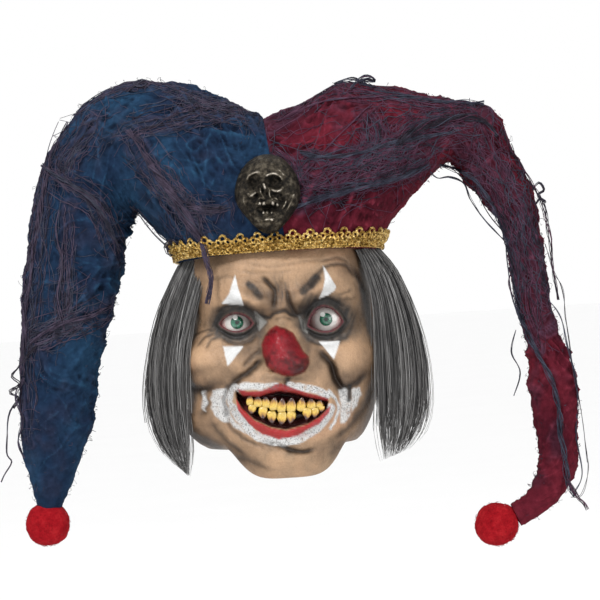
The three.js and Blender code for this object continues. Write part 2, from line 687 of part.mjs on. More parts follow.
function skullBadge() {
  const columns = 20;
  const rings = 9;
  const middle = onCrown(degToRad(badgeTurn), brimDrop + badgeRise, 0);
  const halfWide = badgeWidth / 2;
  const halfHigh = badgeHeight / 2;
  const jawTaper = (up) => 1 - 0.34 * smoothstep(-up, 0.1, 1);
  const reliefAt = (across, up) => {
    let out = 0;
    for (const form of skullForms) {
      for (const side of form.side ? [-1, 1] : [1]) {
        const dx = (across - side * form.across) / form.wide;
        const dz = (up - form.up) / form.high;
        out += form.out * Math.exp(-(dx ** 2) - dz ** 2);
      }
    }
    return out;
  };
  // Rings spread from the middle of the front to the outline and then run to the back.
  const depthBehind = badgeRelief * 1.6;
  const lump = loft(columns, rings + 3, (column, ring) => {
    const turn = (2 * Math.PI * column) / columns;
    const share = Math.min(ring / rings, 1);
    const across = Math.sin(turn) * share;
    const up = Math.cos(turn) * share;
    const dome = Math.sqrt(Math.max(0, 1 - share ** 2.6));
    const out = badgeRelief * (dome + reliefAt(across, up) * smoothstep(1 - share, 0, 0.3));
    const last = ring === rings + 2;
    const x = last ? 0 : across * halfWide * jawTaper(up);
    const z = last ? 0 : up * halfHigh;
    return vec(middle.x + x, middle.y - (ring > rings ? -depthBehind : out), middle.z + z);
  });
  return mainBody(lump.subtract(capRoom).subtract(braidRoom));
}

// Strips of gauze that lie on a horn, joined where they cross.
function gauze(horn, strips) {
  const solids = strips.map((strip) => {
    const rings = Math.max(6, Math.round(strip.to - strip.from));
    return loft(4, rings + 2, (corner, ring) => {
      const share = clamp((ring - 1) / (rings - 1), 0, 1);
      const place = lerp(strip.from, strip.to, share);
      const row = rowAt(horn.sections, place);
      const local = Math.min(row.deep * crownDepth, crownDepth);
      const ends = smoothstep(Math.min(share, 1 - share), -0.05, 0.12);
      const half = (gauzeStrip * strip.wide * ends) / 2 / local;
      const middle = degToRad(lerp(strip.start, strip.end, share));
      const isEnd = ring === 0 || ring === rings + 1;
      const side = isEnd ? 0 : corner === 0 || corner === 3 ? -1 : 1;
      const out = corner < 2 ? gauzeThickness : 0;
      const lift = gauzeLift + (isEnd ? gauzeThickness / 2 : out);
      return hornPoint(horn, place, middle + side * half, lift);
    });
  });
  const joined = solids.reduce((whole, strip) => whole.add(strip));
  const aboveBraid = belowBrim(braidBand + braidScallop + gauzeThickness);
  return mainBody(joined.subtract(aboveBraid).subtract(capRoom));
}

// A felt ball on the end of a horn, with a seat for the horn's end.
function pompom(horn) {
  const tip = hornMiddle(horn, tipOf(horn));
  const along = tip.clone().sub(hornMiddle(horn, tipOf(horn) - 0.6)).normalize();
  const ball = new THREE.IcosahedronGeometry(pompomWidth / 2, 2);
  const centre = tip.clone().addScaledVector(along, pompomWidth / 2 - pompomBite);
  ball.translate(centre.x, centre.y, centre.z);
  return solidFrom(ball).subtract(hornForm(horn, capColumns, fitGap, 0));
}

// Hair at one temple: tapering locks that hang from a strip under the brim, clear of the head.
function hair(side, spread) {
  const rootZ = -brimDrop - lockRadius * 0.6;
  const lowestRay = -0.78 * faceDrop;
  const offSide = (turn, z, off) => {
    const away = vec(side * Math.sin(turn), -Math.cos(turn), 0);
    const distance = reachTo(headProbe, vec(0, 0, Math.max(z, lowestRay)), away);
    return vec(0, 0, z).addScaledVector(away, (distance ?? headWidth / 2) + off);
  };
  const first = degToRad(hairLocks[0].root);
  const last = degToRad(hairLocks[hairLocks.length - 1].root);
  const half = lockRadius * 0.4;
  const section = new THREE.Shape();
  section.moveTo(-half, -half);
  section.lineTo(half, -half);
  section.lineTo(half, half);
  section.lineTo(-half, half);
  section.closePath();
  const stripPoints = [0, 0.5, 1].map((share) => offSide(lerp(first, last, share), rootZ, half));
  const strip = new THREE.ExtrudeGeometry(section, {
    steps: 4,
    bevelEnabled: false,
    extrudePath: new THREE.CatmullRomCurve3(stripPoints),
  });
  let joined = solidFrom(strip);
  const bowAlong = [0, 0.5, 1, 0.95, 0.6];
  const widths = [0.55, 0.85, 1.05, 1.05, 0.9, 0.65, 0.18];
  for (const lock of hairLocks) {
    const radius = lockRadius * lock.thick;
    const knots = bowAlong.map((bow, step) => {
      const z = rootZ - (lock.fall * hairLength * step) / (bowAlong.length - 1);
      const clear = step === 0 ? half : radius + bow * lock.bow * spread;
      return offSide(degToRad(lock.root), z, clear);
    });
    const path = new THREE.CatmullRomCurve3(knots);
    const rings = widths.length;
    const sides = 4;
    const tube = loft(sides, rings + 2, (corner, ring) => {
      const share = clamp((ring - 1) / (rings - 1), 0, 1);
      const centre = path.getPoint(share);
      if (ring === 0 || ring === rings + 1) return centre;
      const turn = (2 * Math.PI * corner) / sides;
      const out = radius * widths[ring - 1];
      return centre.add(vec(out * Math.cos(turn), out * Math.sin(turn), 0));
    });
    joined = joined.add(tube);
  }
  return mainBody(joined.subtract(headRoom).subtract(earRoom(side)).subtract(capRoom));
}

// An ear with room round it.
function earRoom(side) {
  const wide = new THREE.SphereGeometry(1, 8, 6);
  wide.scale(earThick / 2 + 2 * fitGap, earWidth / 2 + 2 * fitGap, earHeight / 2 + 2 * fitGap);
  wide.rotateZ(-side * earFlare);
  wide.translate(side * (headWidth / 2 + earOut), earWidth * 0.35, -earDrop);
  return solidFrom(wide);
}

// Materials
const material = (color, roughness, metalness) =>
  new THREE.MeshStandardMaterial({ color, roughness, metalness });
const paintedRubber = material(0xb08a68, 0.55, 0);
const blueCloth = material(0x1d3a5f, 0.9, 0);
const maroonCloth = material(0x6e1a2c, 0.9, 0);
const greyGauze = material(0x3d3846, 0.95, 0);
const agedMetal = material(0x4a4034, 0.4, 0.8);
const goldThread = material(0xc79a2e, 0.35, 0.9);
const greyHair = material(0x5a5858, 0.6, 0);
const redFelt = material(0xb3191f, 0.95, 0);
const glossyEye = material(0xe8e4dc, 0.1, 0);
const yellowTooth = material(0xe0b84a, 0.3, 0);

// The whole mask
const mask = new THREE.Group();
mask.add(meshOf("mask_shell", maskShell(), paintedRubber));
for (const opening of eyeOpenings) {
  mask.add(meshOf(opening.name, eyeball(opening), glossyEye));
}
mask.add(meshOf("upper_teeth", teeth(1, 9, -1), yellowTooth));
mask.add(meshOf("lower_teeth", teeth(-1, 9, 6), yellowTooth));
mask.add(meshOf("hair_left", hair(-1, hairSpread.left), greyHair));
mask.add(meshOf("hair_right", hair(1, hairSpread.right), greyHair));
mask.add(meshOf("cap_left", capHalf(horns.left), blueCloth));
mask.add(meshOf("cap_right", capHalf(horns.right), maroonCloth));
mask.add(meshOf("gauze_left", gauze(horns.left, leftGauze), greyGauze));
mask.add(meshOf("gauze_right", gauze(horns.right, rightGauze), greyGauze));
mask.add(meshOf("pompom_left", pompom(horns.left), redFelt));
mask.add(meshOf("pompom_right", pompom(horns.right), redFelt));
mask.add(meshOf("gold_braid", braid(), goldThread));
mask.add(meshOf("skull_badge", skullBadge(), agedMetal));

export default mask;
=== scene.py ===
# %% [markdown]
# # A jester mask, dressed for its portrait
# The mask is a hollow rubber head with a two-horned cloth cap. Another program has already made
# its plain solids. This notebook loads them as a fixed frame, and dresses them one piece at a
# time: cloth, torn gauze, painted rubber, hair, gold braid and a cast badge. Sizes are worked
# out in millimetres, and each mesh is brought to metres when it is made.

from itertools import product
from math import cos, pi, radians, sin

import bmesh
import bpy
import numpy as np
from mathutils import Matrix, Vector
from mathutils.bvhtree import BVHTree


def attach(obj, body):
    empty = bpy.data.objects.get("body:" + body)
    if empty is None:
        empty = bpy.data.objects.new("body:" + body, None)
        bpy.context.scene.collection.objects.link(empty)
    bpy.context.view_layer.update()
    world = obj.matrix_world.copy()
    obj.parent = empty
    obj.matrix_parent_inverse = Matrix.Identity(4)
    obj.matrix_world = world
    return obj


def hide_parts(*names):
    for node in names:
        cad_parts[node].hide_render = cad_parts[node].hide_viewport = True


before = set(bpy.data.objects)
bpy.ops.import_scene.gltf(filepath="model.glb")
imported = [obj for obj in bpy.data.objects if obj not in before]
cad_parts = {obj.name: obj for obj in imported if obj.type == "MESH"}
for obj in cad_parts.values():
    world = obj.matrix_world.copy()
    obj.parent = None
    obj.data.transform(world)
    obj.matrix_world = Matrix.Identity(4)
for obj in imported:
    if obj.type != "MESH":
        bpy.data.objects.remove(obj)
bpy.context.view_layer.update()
MM = 0.001
print("solids:", sorted(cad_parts))

# %% [markdown]
# ## Where the camera stands
# The photograph is 600 pixels square, and one pixel is one millimetre in the upright plane
# where Y is 0, through the middle of the head. The head leans a little to one side in it, so
# the camera is rolled by that angle and the mask stays upright. With the camera known, a place
# in the picture can be turned into a place on the mask, and back.

# %% Camera
LEAN = radians(3.8)
DISTANCE = 2000.0
PICTURE = 600.0
SENSOR = 36.0
EYE = np.array([19.9, -DISTANCE, -96.5])
RIGHT = np.array([cos(LEAN), 0, -sin(LEAN)])
UP = np.array([sin(LEAN), 0, cos(LEAN)])
AHEAD = np.array([0.0, 1.0, 0.0])


def to_picture(points):
    """Picture places, in pixels, of points in millimetres."""
    off = np.asarray(points, float) - EYE
    scale = DISTANCE / off[..., 1]
    across = PICTURE / 2 + (off @ RIGHT) * scale
    down = PICTURE / 2 - (off @ UP) * scale
    return np.stack([across, down], -1)


def from_picture(across, down, depth):
    """The points seen at picture places, at given depths along Y."""
    across, down, depth = (np.asarray(value, float)[..., None] for value in (across, down, depth))
    off = (across - PICTURE / 2) * RIGHT - (down - PICTURE / 2) * UP
    return EYE + off * (DISTANCE + depth) / DISTANCE + AHEAD * (DISTANCE + depth)


lens = bpy.data.cameras.new("camera")
lens.sensor_width = SENSOR
lens.lens = SENSOR * DISTANCE / PICTURE
camera = bpy.data.objects.new("camera", lens)
bpy.context.scene.collection.objects.link(camera)
camera.location = Vector(EYE * MM)
camera.rotation_euler = (pi / 2, LEAN, 0)
bpy.context.scene.camera = camera

# %% [markdown]
# ## Floor and light
# The photograph has soft light from all round and a pure white ground. A white world gives
# both. A lamp above on the left and a wider, weaker one on the right give the rubber its soft
# highlights. The floor lies well below, because the mask is held up at its crown.

# %% Floor and lamps
FLOOR_HEIGHT = -0.8


def lamp(name, place, target, size, power):
    light = bpy.data.lights.new(name, "AREA")
    light.size = size
    light.energy = power
    holder = bpy.data.objects.new(name, light)
    bpy.context.scene.collection.objects.link(holder)
    holder.location = place
    aim = Vector(target) - Vector(place)
    holder.rotation_euler = aim.to_track_quat("-Z", "Y").to_euler()


lamp("key", (-0.8, -1.6, 1.3), (0, 0, -0.1), 0.6, 46)
lamp("fill", (1.4, -1.5, 0.1), (0, 0, -0.1), 1.2, 15)

world = bpy.data.worlds.new("white room")
world.use_nodes = True
world.node_tree.nodes["Background"].inputs["Color"].default_value = (1, 1, 1, 1)
world.node_tree.nodes["Background"].inputs["Strength"].default_value = 1.0
bpy.context.scene.world = world
bpy.context.scene.view_settings.view_transform = "Standard"

bm = bmesh.new()
bmesh.ops.create_grid(bm, x_segments=1, y_segments=1, size=60)
bmesh.ops.translate(bm, vec=(0, 0, FLOOR_HEIGHT), verts=bm.verts)
floor_mesh = bpy.data.meshes.new("floor")
bm.to_mesh(floor_mesh)
bm.free()
floor = bpy.data.objects.new("floor", floor_mesh)
bpy.context.scene.collection.objects.link(floor)

# %% [markdown]
# ## Small tools
# Cloth, rubber and metal are all uneven, so everything is shaped and tinted by the same kind
# of noise: a fixed random number at each corner of a lattice, blended in between. `ripple`
# gives soft lumps, and `crease` gives the thin ridges of crushed cloth. Both take the place of
# hand sculpting, and give the same result on each run.


# %% Noise and blending
def smooth(value, low, high):
    """0 below low, 1 above high, and an even curve between them."""
    share = np.clip((value - low) / (high - low), 0, 1)
    return share * share * (3 - 2 * share)


def corner_value(corner, seed):
    mixed = (corner[:, 0] * 73856093) ^ (corner[:, 1] * 19349663) ^ (corner[:, 2] * 83492791)
    mixed = (mixed ^ (seed * 265443576)) & 0xFFFFFFFF
    mixed = ((mixed ^ (mixed >> 15)) * 1274126177) & 0xFFFFFFFF
    mixed = ((mixed ^ (mixed >> 13)) * 1103515245) & 0xFFFFFFFF
    return ((mixed ^ (mixed >> 16)) & 0xFFFF) / 32767.5 - 1


def ripple(points, size, seed=0):
    """Soft lumps from -1 to 1, about one size across; size may differ along each axis."""
    place = np.asarray(points, float) / size
    cell = np.floor(place).astype(np.int64)
    part = place - cell
    part = part * part * (3 - 2 * part)
    total = np.zeros(len(place))
    for corner in product((0, 1), repeat=3):
        weight = np.prod(np.where(corner, part, 1 - part), axis=1)
        total += weight * corner_value(cell + np.array(corner), seed)
    return total


def crease(points, size, seed=0, sharp=2.0):
    """Thin ridges, 1 on the ridge and 0 away from it."""
    return np.clip(1 - np.abs(ripple(points, size, seed)) * 2.2, 0, 1) ** sharp


def blend(first, second, share):
    return first + (second - first) * np.asarray(share)[:, None]


def unit(vectors):
    length = np.linalg.norm(vectors, axis=-1, keepdims=True)
    return vectors / np.maximum(length, 1e-9)


def row_at(table, place):
    """Rows of a table at fractional places, each column a smooth curve through its values."""
    table = np.asarray(table, float)
    last = len(table) - 1
    place = np.asarray(place, float)
    here = np.clip(np.floor(place).astype(int), 0, last - 1)
    t = (place - here)[:, None]
    a, b, c, d = (table[np.clip(here + step, 0, last)] for step in (-1, 0, 1, 2))
    bend = (2 * a - 5 * b + 4 * c - d) * t**2 + (3 * b - a - 3 * c + d) * t**3
    return b + 0.5 * ((c - a) * t + bend)


def from_line(places, line):
    """How far places are from a bent line, and which share of the line is nearest."""
    line = np.asarray(line, float)
    steps = np.linalg.norm(np.diff(line, axis=0), axis=1)
    start = np.r_[0, np.cumsum(steps)]
    nearest = np.full(len(places), np.inf)
    share = np.zeros(len(places))
    for k, step in enumerate(steps):
        along = (line[k + 1] - line[k]) / step
        t = np.clip((places - line[k]) @ along, 0, step)
        gap = np.linalg.norm(places - line[k] - t[:, None] * along, axis=1)
        better = gap < nearest
        nearest[better] = gap[better]
        share[better] = ((start[k] + t) / start[-1])[better]
    return nearest, share


def inside_by(places, outline):
    """How far inside a closed outline places are, in pixels; negative outside."""
    outline = np.asarray(outline, float)
    gap, _ = from_line(places, np.vstack([outline, outline[:1]]))
    inside = np.zeros(len(places), bool)
    for (x0, y0), (x1, y1) in zip(outline, np.roll(outline, -1, axis=0)):
        spans = (y0 > places[:, 1]) != (y1 > places[:, 1])
        if y0 != y1:
            cut = x0 + (places[:, 1] - y0) * (x1 - x0) / (y1 - y0)
            inside ^= spans & (places[:, 0] < cut)
    return np.where(inside, gap, -gap)


def smooth_line(corners, count):
    """A smooth curve through corners, as evenly counted points."""
    return row_at(corners, np.linspace(0, len(corners) - 1, count))


# %% [markdown]
# ## Meshes
# Nearly every piece is a sheet that was bent into its shape, so it starts as Blender's flat
# grid and each vertex is moved to its place. Threads, hair and cord are curves with a round
# section, which Blender turns into mesh.


# %% Mesh makers
def place_mesh(mesh, name):
    piece = bpy.data.objects.new(name, mesh)
    bpy.context.scene.collection.objects.link(piece)
    return piece


def flat_grid(name, columns, rows):
    """A flat grid as a mesh, with each vertex's share across and down it."""
    bm = bmesh.new()
    bmesh.ops.create_grid(bm, x_segments=columns, y_segments=rows, size=0.5)
    mesh = bpy.data.meshes.new(name)
    bm.to_mesh(mesh)
    bm.free()
    flat = np.zeros(len(mesh.vertices) * 3)
    mesh.vertices.foreach_get("co", flat)
    flat = flat.reshape(-1, 3)
    return mesh, flat[:, 0] + 0.5, flat[:, 1] + 0.5


def move_to(mesh, points):
    mesh.vertices.foreach_set("co", (np.asarray(points) * MM).ravel())
    mesh.update()


def points_of(mesh):
    flat = np.zeros(len(mesh.vertices) * 3)
    mesh.vertices.foreach_get("co", flat)
    return flat.reshape(-1, 3) / MM


def tint(mesh, name, colours):
    layer = mesh.color_attributes.new(name, "FLOAT_COLOR", "POINT")
    full = np.c_[np.clip(colours, 0, 1), np.ones(len(colours))]
    layer.data.foreach_set("color", full.ravel())


def weigh(mesh, name, values):
    layer = mesh.attributes.new(name, "FLOAT", "POINT")
    layer.data.foreach_set("value", np.asarray(values, float))


def sew(mesh, gap=0.02):
    """Merges the two edges of a rolled grid, and turns the faces outwards."""
    bm = bmesh.new()
    bm.from_mesh(mesh)
    bmesh.ops.remove_doubles(bm, verts=bm.verts, dist=gap * MM)
    bmesh.ops.recalc_face_normals(bm, faces=bm.faces)
    bm.to_mesh(mesh)
    bm.free()


def surface_of(mesh):
    """The surface of a mesh for finding points on it, in millimetres."""
    corners = [tuple(p) for p in points_of(mesh)]
    return BVHTree.FromPolygons(corners, [tuple(f.vertices) for f in mesh.polygons])


def cords(name, strands, finishes=()):
    """Round strands; each is its points in millimetres, its radius and the finish it has."""
    curve = bpy.data.curves.new(name, "CURVE")
    curve.dimensions = "3D"
    curve.bevel_depth = MM
    curve.bevel_resolution = 0
    curve.use_fill_caps = True
    for finish in finishes:
        curve.materials.append(finish)
    for points, radii, *which in strands:
        spline = curve.splines.new("POLY")
        spline.points.add(len(points) - 1)
        spline.points.foreach_set("co", np.c_[points * MM, np.ones(len(points))].ravel())
        spline.points.foreach_set("radius", np.broadcast_to(radii, len(points)).copy())
        spline.material_index = which[0] if which else 0
    rough = place_mesh(curve, name + " curve")
    bpy.context.view_layer.update()
    mesh = bpy.data.meshes.new_from_object(rough.evaluated_get(
        bpy.context.evaluated_depsgraph_get()))
    bpy.data.objects.remove(rough)
    mesh.name = name
    return mesh


def dress(mesh, name, finish, slot, *nodes):
    """Puts a finished mesh in the scene with its material, under the root, and hides the solids it
    stands for.
    """
    piece = place_mesh(mesh, name)
    if finish:
        mesh.materials.clear()
        mesh.materials.append(finish)
    mesh.polygons.foreach_set("use_smooth", np.ones(len(mesh.polygons), bool))
    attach(piece, "root")
    if nodes:
        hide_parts(*nodes)
    mesh.calc_loop_triangles()
    print(name, "has", len(mesh.loop_triangles), "triangles")
    return piece


# %% [markdown]
# ## Shader sums in plain Python
# A material's pattern is a sum of noises, waves and painted attributes. Node trees are hard to
# read as code, so a `Wire` wraps a socket and turns `+`, `-` and `*` into Math nodes.


# %% Shader tools
class Wire:
    def __init__(self, finish, socket):
        self.finish = finish
        self.socket = socket

    def _sum(self, operation, first, second):
        return self.finish.node("ShaderNodeMath", [first, second], operation=operation)

    def __add__(self, other):
        return self._sum("ADD", self, other)

    def __mul__(self, other):
        return self._sum("MULTIPLY", self, other)

    def __sub__(self, other):
        return self._sum("SUBTRACT", self, other)

    def __rsub__(self, other):
        return self._sum("SUBTRACT", other, self)

    __radd__ = __add__
    __rmul__ = __mul__

    def between(self, low, high):
        """0 at low and 1 at high, held at both ends."""
        values = [self, low, high, 0.0, 1.0]
        return self.finish.node("ShaderNodeMapRange", values, clamp=True)


class Finish:
    def __init__(self, name, **constants):
        self.material = bpy.data.materials.new(name)
        self.material.use_nodes = True
        self.tree = self.material.node_tree
        self.shader = self.tree.nodes["Principled BSDF"]
        for socket, value in constants.items():
            self.shader.inputs[socket.replace("_", " ")].default_value = value

    def node(self, kind, values=(), out=0, stops=None, **settings):
        """Adds a node. Settings come first, then values or wires, by order or by name."""
        made = self.tree.nodes.new(kind)
        for setting, value in settings.items():
            setattr(made, setting, value)
        if stops:
            for k, (place, colour) in enumerate(stops):
                if k > 1:
                    made.color_ramp.elements.new(place)
                made.color_ramp.elements[k].position = place
                made.color_ramp.elements[k].color = (*colour, 1)
        named = values.items() if isinstance(values, dict) else enumerate(values)
        for socket, value in named:
            if isinstance(value, Wire):
                self.tree.links.new(value.socket, made.inputs[socket])
            elif value is not None:
                made.inputs[socket].default_value = value
        return Wire(self, made.outputs[out])

    def place(self, stretch=(1, 1, 1)):
        spot = self.node("ShaderNodeTexCoord", out="Object")
        return self.node("ShaderNodeMapping", {"Vector": spot, "Scale": stretch})

    def noise(self, scale, detail=3.0, rough=0.55, stretch=(1, 1, 1)):
        values = {"Vector": self.place(stretch), "Scale": scale, "Detail": detail}
        return self.node("ShaderNodeTexNoise", {**values, "Roughness": rough})

    def cells(self, scale):
        return self.node("ShaderNodeTexVoronoi", {"Vector": self.place(), "Scale": scale})

    def painted(self, name, out="Color"):
        return self.node("ShaderNodeAttribute", out=out, attribute_name=name)

    def mix(self, share, first, second, way="MIX"):
        values = {0: share, 6: first, 7: second}
        return self.node("ShaderNodeMix", values, out=2, data_type="RGBA", blend_type=way)

    def ramp(self, share, *stops):
        return self.node("ShaderNodeValToRGB", [share], stops=stops)

    def done(self, colour, roughness=None, bump=None, depth=0.0004):
        """Links what changes over the surface; depth is the bump's height in metres."""
        wired = {"Base Color": colour, "Roughness": roughness}
        if bump is not None:
            values = {"Height": bump, "Distance": depth, "Strength": 1.0}
            wired["Normal"] = self.node("ShaderNodeBump", values)
        for name, value in wired.items():
            if value is not None:
                self.tree.links.new(value.socket, self.shader.inputs[name])
        return self.material


pale = Finish("pale floor", Roughness=0.9)
cloud = pale.noise(3.0)
floor_paint = pale.done(pale.ramp(cloud, (0, (0.95, 0.95, 0.95)), (1, (0.98, 0.98, 0.98))))
floor.data.materials.append(floor_paint)

# %% [markdown]
# ## The cap's cloth
# Each horn is a tapering bag of thin cotton, dyed, wetted and crushed so that it dried full of
# creases. It could be simulated, but cloth that dried in shape doesn't hang as free cloth does.
# Here a grid is rolled into the horn's shape along a table of cross-sections, and creases are
# raised on it by noise. The creases run round the horn and lean, as they do when a tube of
# cloth is pushed together, so the noise is longer round the horn than along it.

# %% Shape of the horns
# Each row: lower edge across and up, upper edge across and up, and depth, as shares.
LEFT_ROWS = [
    (-0.075, -0.45, 0.018, 0.665, 1), (0.2, -0.45, 0.13, 0.79, 0.93),
    (0.35, -0.225, 0.28, 0.95, 0.86), (0.415, -0.1, 0.43, 1, 0.74),
    (0.49, -0.02, 0.55, 0.98, 0.64), (0.51, 0, 0.68, 0.87, 0.56),
    (0.52, -0.01, 0.78, 0.65, 0.52), (0.53, -0.03, 0.86, 0.4, 0.49),
    (0.545, -0.06, 0.91, 0.15, 0.47), (0.57, -0.14, 0.945, -0.115, 0.46),
    (0.605, -0.28, 0.97, -0.275, 0.45), (0.64, -0.4, 0.985, -0.43, 0.43),
    (0.69, -0.54, 0.995, -0.59, 0.39), (0.73, -0.71, 1, -0.73, 0.34),
    (0.77, -0.82, 0.995, -0.84, 0.28), (0.815, -0.92, 0.985, -0.925, 0.21),
    (0.86, -1.01, 0.965, -1.015, 0.14),
]
RIGHT_ROWS = [
    (0.069, -0.4, -0.0165, 0.665, 1), (0.175, -0.4, 0.12, 0.76, 0.93),
    (0.325, -0.2, 0.27, 0.9, 0.85), (0.39, -0.09, 0.42, 0.86, 0.68),
    (0.47, -0.01, 0.56, 0.77, 0.54), (0.535, 0.11, 0.68, 0.7, 0.44),
    (0.58, 0.2, 0.745, 0.65, 0.38), (0.605, 0.215, 0.795, 0.52, 0.34),
    (0.63, 0.18, 0.83, 0.3, 0.31), (0.665, 0.06, 0.875, 0.07, 0.29),
    (0.716, -0.04, 0.91, -0.06, 0.27), (0.765, -0.1, 0.925, -0.15, 0.25),
    (0.787, -0.18, 0.93, -0.235, 0.23), (0.797, -0.31, 0.93, -0.35, 0.22),
    (0.815, -0.41, 0.95, -0.43, 0.22), (0.833, -0.51, 0.98, -0.51, 0.22),
    (0.842, -0.61, 1, -0.61, 0.23), (0.845, -0.71, 1, -0.71, 0.22),
    (0.85, -0.79, 0.995, -0.8, 0.21), (0.85, -0.86, 0.98, -0.88, 0.19),
    (0.83, -0.91, 0.935, -0.955, 0.16), (0.795, -0.95, 0.865, -1.015, 0.13),
    (0.745, -0.98, 0.78, -1.055, 0.105),
]
CROWN_RISE = 132.0
CROWN_DEPTH = 107.0
BRIM_DROP = 51.9
BRIM_PITCH = radians(2)


class Horn:
    def __init__(self, name, side, reach, drop, rows):
        self.name, self.side, self.reach, self.drop = name, side, reach, drop
        self.rows = np.array(rows, float)
        self.tip = len(rows) - 1
        places = np.linspace(0, self.tip, 400)
        middle = (self.point(places, 0 * places) + self.point(places, pi + 0 * places)) / 2
        steps = np.linalg.norm(np.diff(middle, axis=0), axis=1)
        self.places, self.lengths = places, np.r_[0, np.cumsum(steps)]
        self.length = self.lengths[-1]

    def point(self, place, around, lift=0.0):
        """A point of the horn; around is measured from its upper edge towards the front."""
        row = row_at(self.rows, place)
        none = np.zeros(len(row))
        rise = [np.where(row[:, k] > 0, CROWN_RISE, self.drop) * row[:, k] for k in (1, 3)]
        under = np.stack([self.side * row[:, 0] * self.reach, none, rise[0]], 1)
        over = np.stack([self.side * row[:, 2] * self.reach, none, rise[1]], 1)
        middle = (under + over) / 2
        half = np.linalg.norm(over - middle, axis=1)
        up = (over - middle) / half[:, None]
        deep = row[:, 4] * CROWN_DEPTH + lift
        front = np.stack([none, -deep * np.sin(around), none], 1)
        return middle + up * ((half + lift) * np.cos(around))[:, None] + front

    def place_at(self, length):
        return np.interp(length, self.lengths, self.places)


LEFT_HORN = Horn("left", -1, 266.0, 284.0, LEFT_ROWS)
RIGHT_HORN = Horn("right", 1, 290.0, 320.0, RIGHT_ROWS)
print("horn lengths in mm:", round(LEFT_HORN.length), round(RIGHT_HORN.length))

# %% [markdown]
# Torn gauze is wrapped over both horns. Its broad bands are listed here first, because the
# cloth under them is stained darker. In front they follow the picture, in pixels; behind, they
# go along the horn from one cross-section to another, turning round it.

# %% Where the gauze lies
# In front: the middle line of each band, and half its width, in pixels.
LEFT_BANDS = [
    ([(60, 118), (48, 150), (40, 200), (33, 260), (27, 320), (24, 380), (25, 440)], 9),
    ([(72, 116), (92, 98), (116, 86), (140, 83), (168, 84)], 6),
    ([(125, 128), (150, 168), (172, 195), (190, 218), (204, 246)], 11),
    ([(120, 132), (160, 122), (200, 112), (240, 110), (262, 118)], 10),
    ([(40, 166), (64, 182), (92, 200), (108, 226), (120, 258)], 7),
    ([(70, 205), (66, 250), (66, 300), (58, 330), (36, 345)], 8),
    ([(112, 305), (84, 318), (56, 330), (24, 345)], 9),
    ([(184, 206), (210, 208), (232, 206)], 5),
    ([(95, 118), (80, 140), (66, 158), (62, 175)], 8),
    ([(150, 80), (185, 95), (215, 108), (244, 116)], 6),
]
RIGHT_BANDS = [
    ([(296, 207), (330, 195), (365, 186), (400, 176), (430, 164)], 6),
    ([(288, 180), (330, 172), (372, 160), (405, 148), (436, 130)], 22),
    ([(300, 152), (316, 157), (330, 153)], 5),
    ([(395, 146), (420, 130), (450, 120), (482, 116)], 13),
    ([(332, 86), (352, 92), (392, 97), (430, 104), (480, 110)], 7),
    ([(268, 125), (300, 106), (328, 88), (345, 82)], 8),
    ([(460, 130), (486, 165), (512, 215), (528, 270), (544, 320)], 19),
    ([(366, 110), (378, 135), (372, 160)], 12),
    ([(500, 215), (516, 262), (524, 320), (540, 350)], 6),
    ([(270, 150), (290, 165), (300, 190)], 7),
]
# Behind: first and last cross-section, first and last angle in degrees from the upper edge,
# and half the width in millimetres.
LEFT_BACK = [(1.1, 12.5, -26, -70, 14), (1.2, 8.0, -60, -130, 12), (6, 14, -140, -50, 10)]
RIGHT_BACK = [(0.9, 12.6, -24, -70, 13), (1.2, 9.0, -60, -130, 13), (8, 18, -150, -40, 8)]
LEFT_HORN.bands, LEFT_HORN.back = LEFT_BANDS, LEFT_BACK
RIGHT_HORN.bands, RIGHT_HORN.back = RIGHT_BANDS, RIGHT_BACK


def back_line(horn, band, count=60):
    start, end, turn, last_turn, _ = band
    share = np.linspace(0, 1, count)
    place = start + (end - start) * share
    around = np.radians(turn + (last_turn - turn) * share + 10 * np.sin(share * 9))
    return horn.point(place, around, 3.0)


def gauze_cover(horn, points, facing):
    """How much gauze lies over each point, and streaks along its bands."""
    seen = to_picture(points)
    drift = np.stack([ripple(points, 14, 5), ripple(points, 14, 6)], 1) * 4
    cover = np.zeros(len(points))
    streaks = np.zeros(len(points))
    for k, (line, half) in enumerate(horn.bands):
        gap, share = from_line(seen + drift, smooth_line(line, 24))
        length = np.linalg.norm(np.diff(line, axis=0), axis=1).sum()
        spot = np.stack([share * length / 24, gap / 1.1, 0 * gap + k], 1)
        here = smooth(half - gap, -4, 3) * smooth(facing, -0.15, 0.1)
        streaks = np.where(here > cover, ripple(spot, 1.0, 7 + k), streaks)
        cover = np.maximum(cover, here)
    for k, band in enumerate(horn.back):
        gap, share = from_line(points + ripple(points, 14, 5)[:, None] * 4, back_line(horn, band, 24))
        spot = np.stack([share * 12, gap / 1.3, 0 * gap + k], 1)
        here = smooth(band[4] - gap, -4, 3) * smooth(-facing, -0.3, 0.0)
        streaks = np.where(here > cover, ripple(spot, 1.0, 27 + k), streaks)
        cover = np.maximum(cover, here)
    return cover, streaks


# %% Creased cloth
def ring_places(horn, place, along, around):
    """Unrolled places on a horn: millimetres along it, and on a circle of its own girth."""
    row = row_at(horn.rows, place)
    tall = np.linalg.norm(horn.point(place, 0 * place) - horn.point(place, pi + 0 * place), axis=1)
    girth = np.sqrt(tall / 2 * row[:, 4] * CROWN_DEPTH)
    return np.stack([along, girth * np.cos(around), girth * np.sin(around)], 1)


# Length along the horn, length round it, slant, height in millimetres and sharpness.
CREASES = [(34, 80, 0.5, 4.6, 1.6), (19, 44, -0.8, 3.2, 2.0), (12, 26, 1.1, 2.4, 2.4),
           (8, 20, -0.3, 1.9, 2.6), (5.5, 11, 0.6, 1.2, 2.6), (4, 8, -1.2, 0.8, 2.6)]


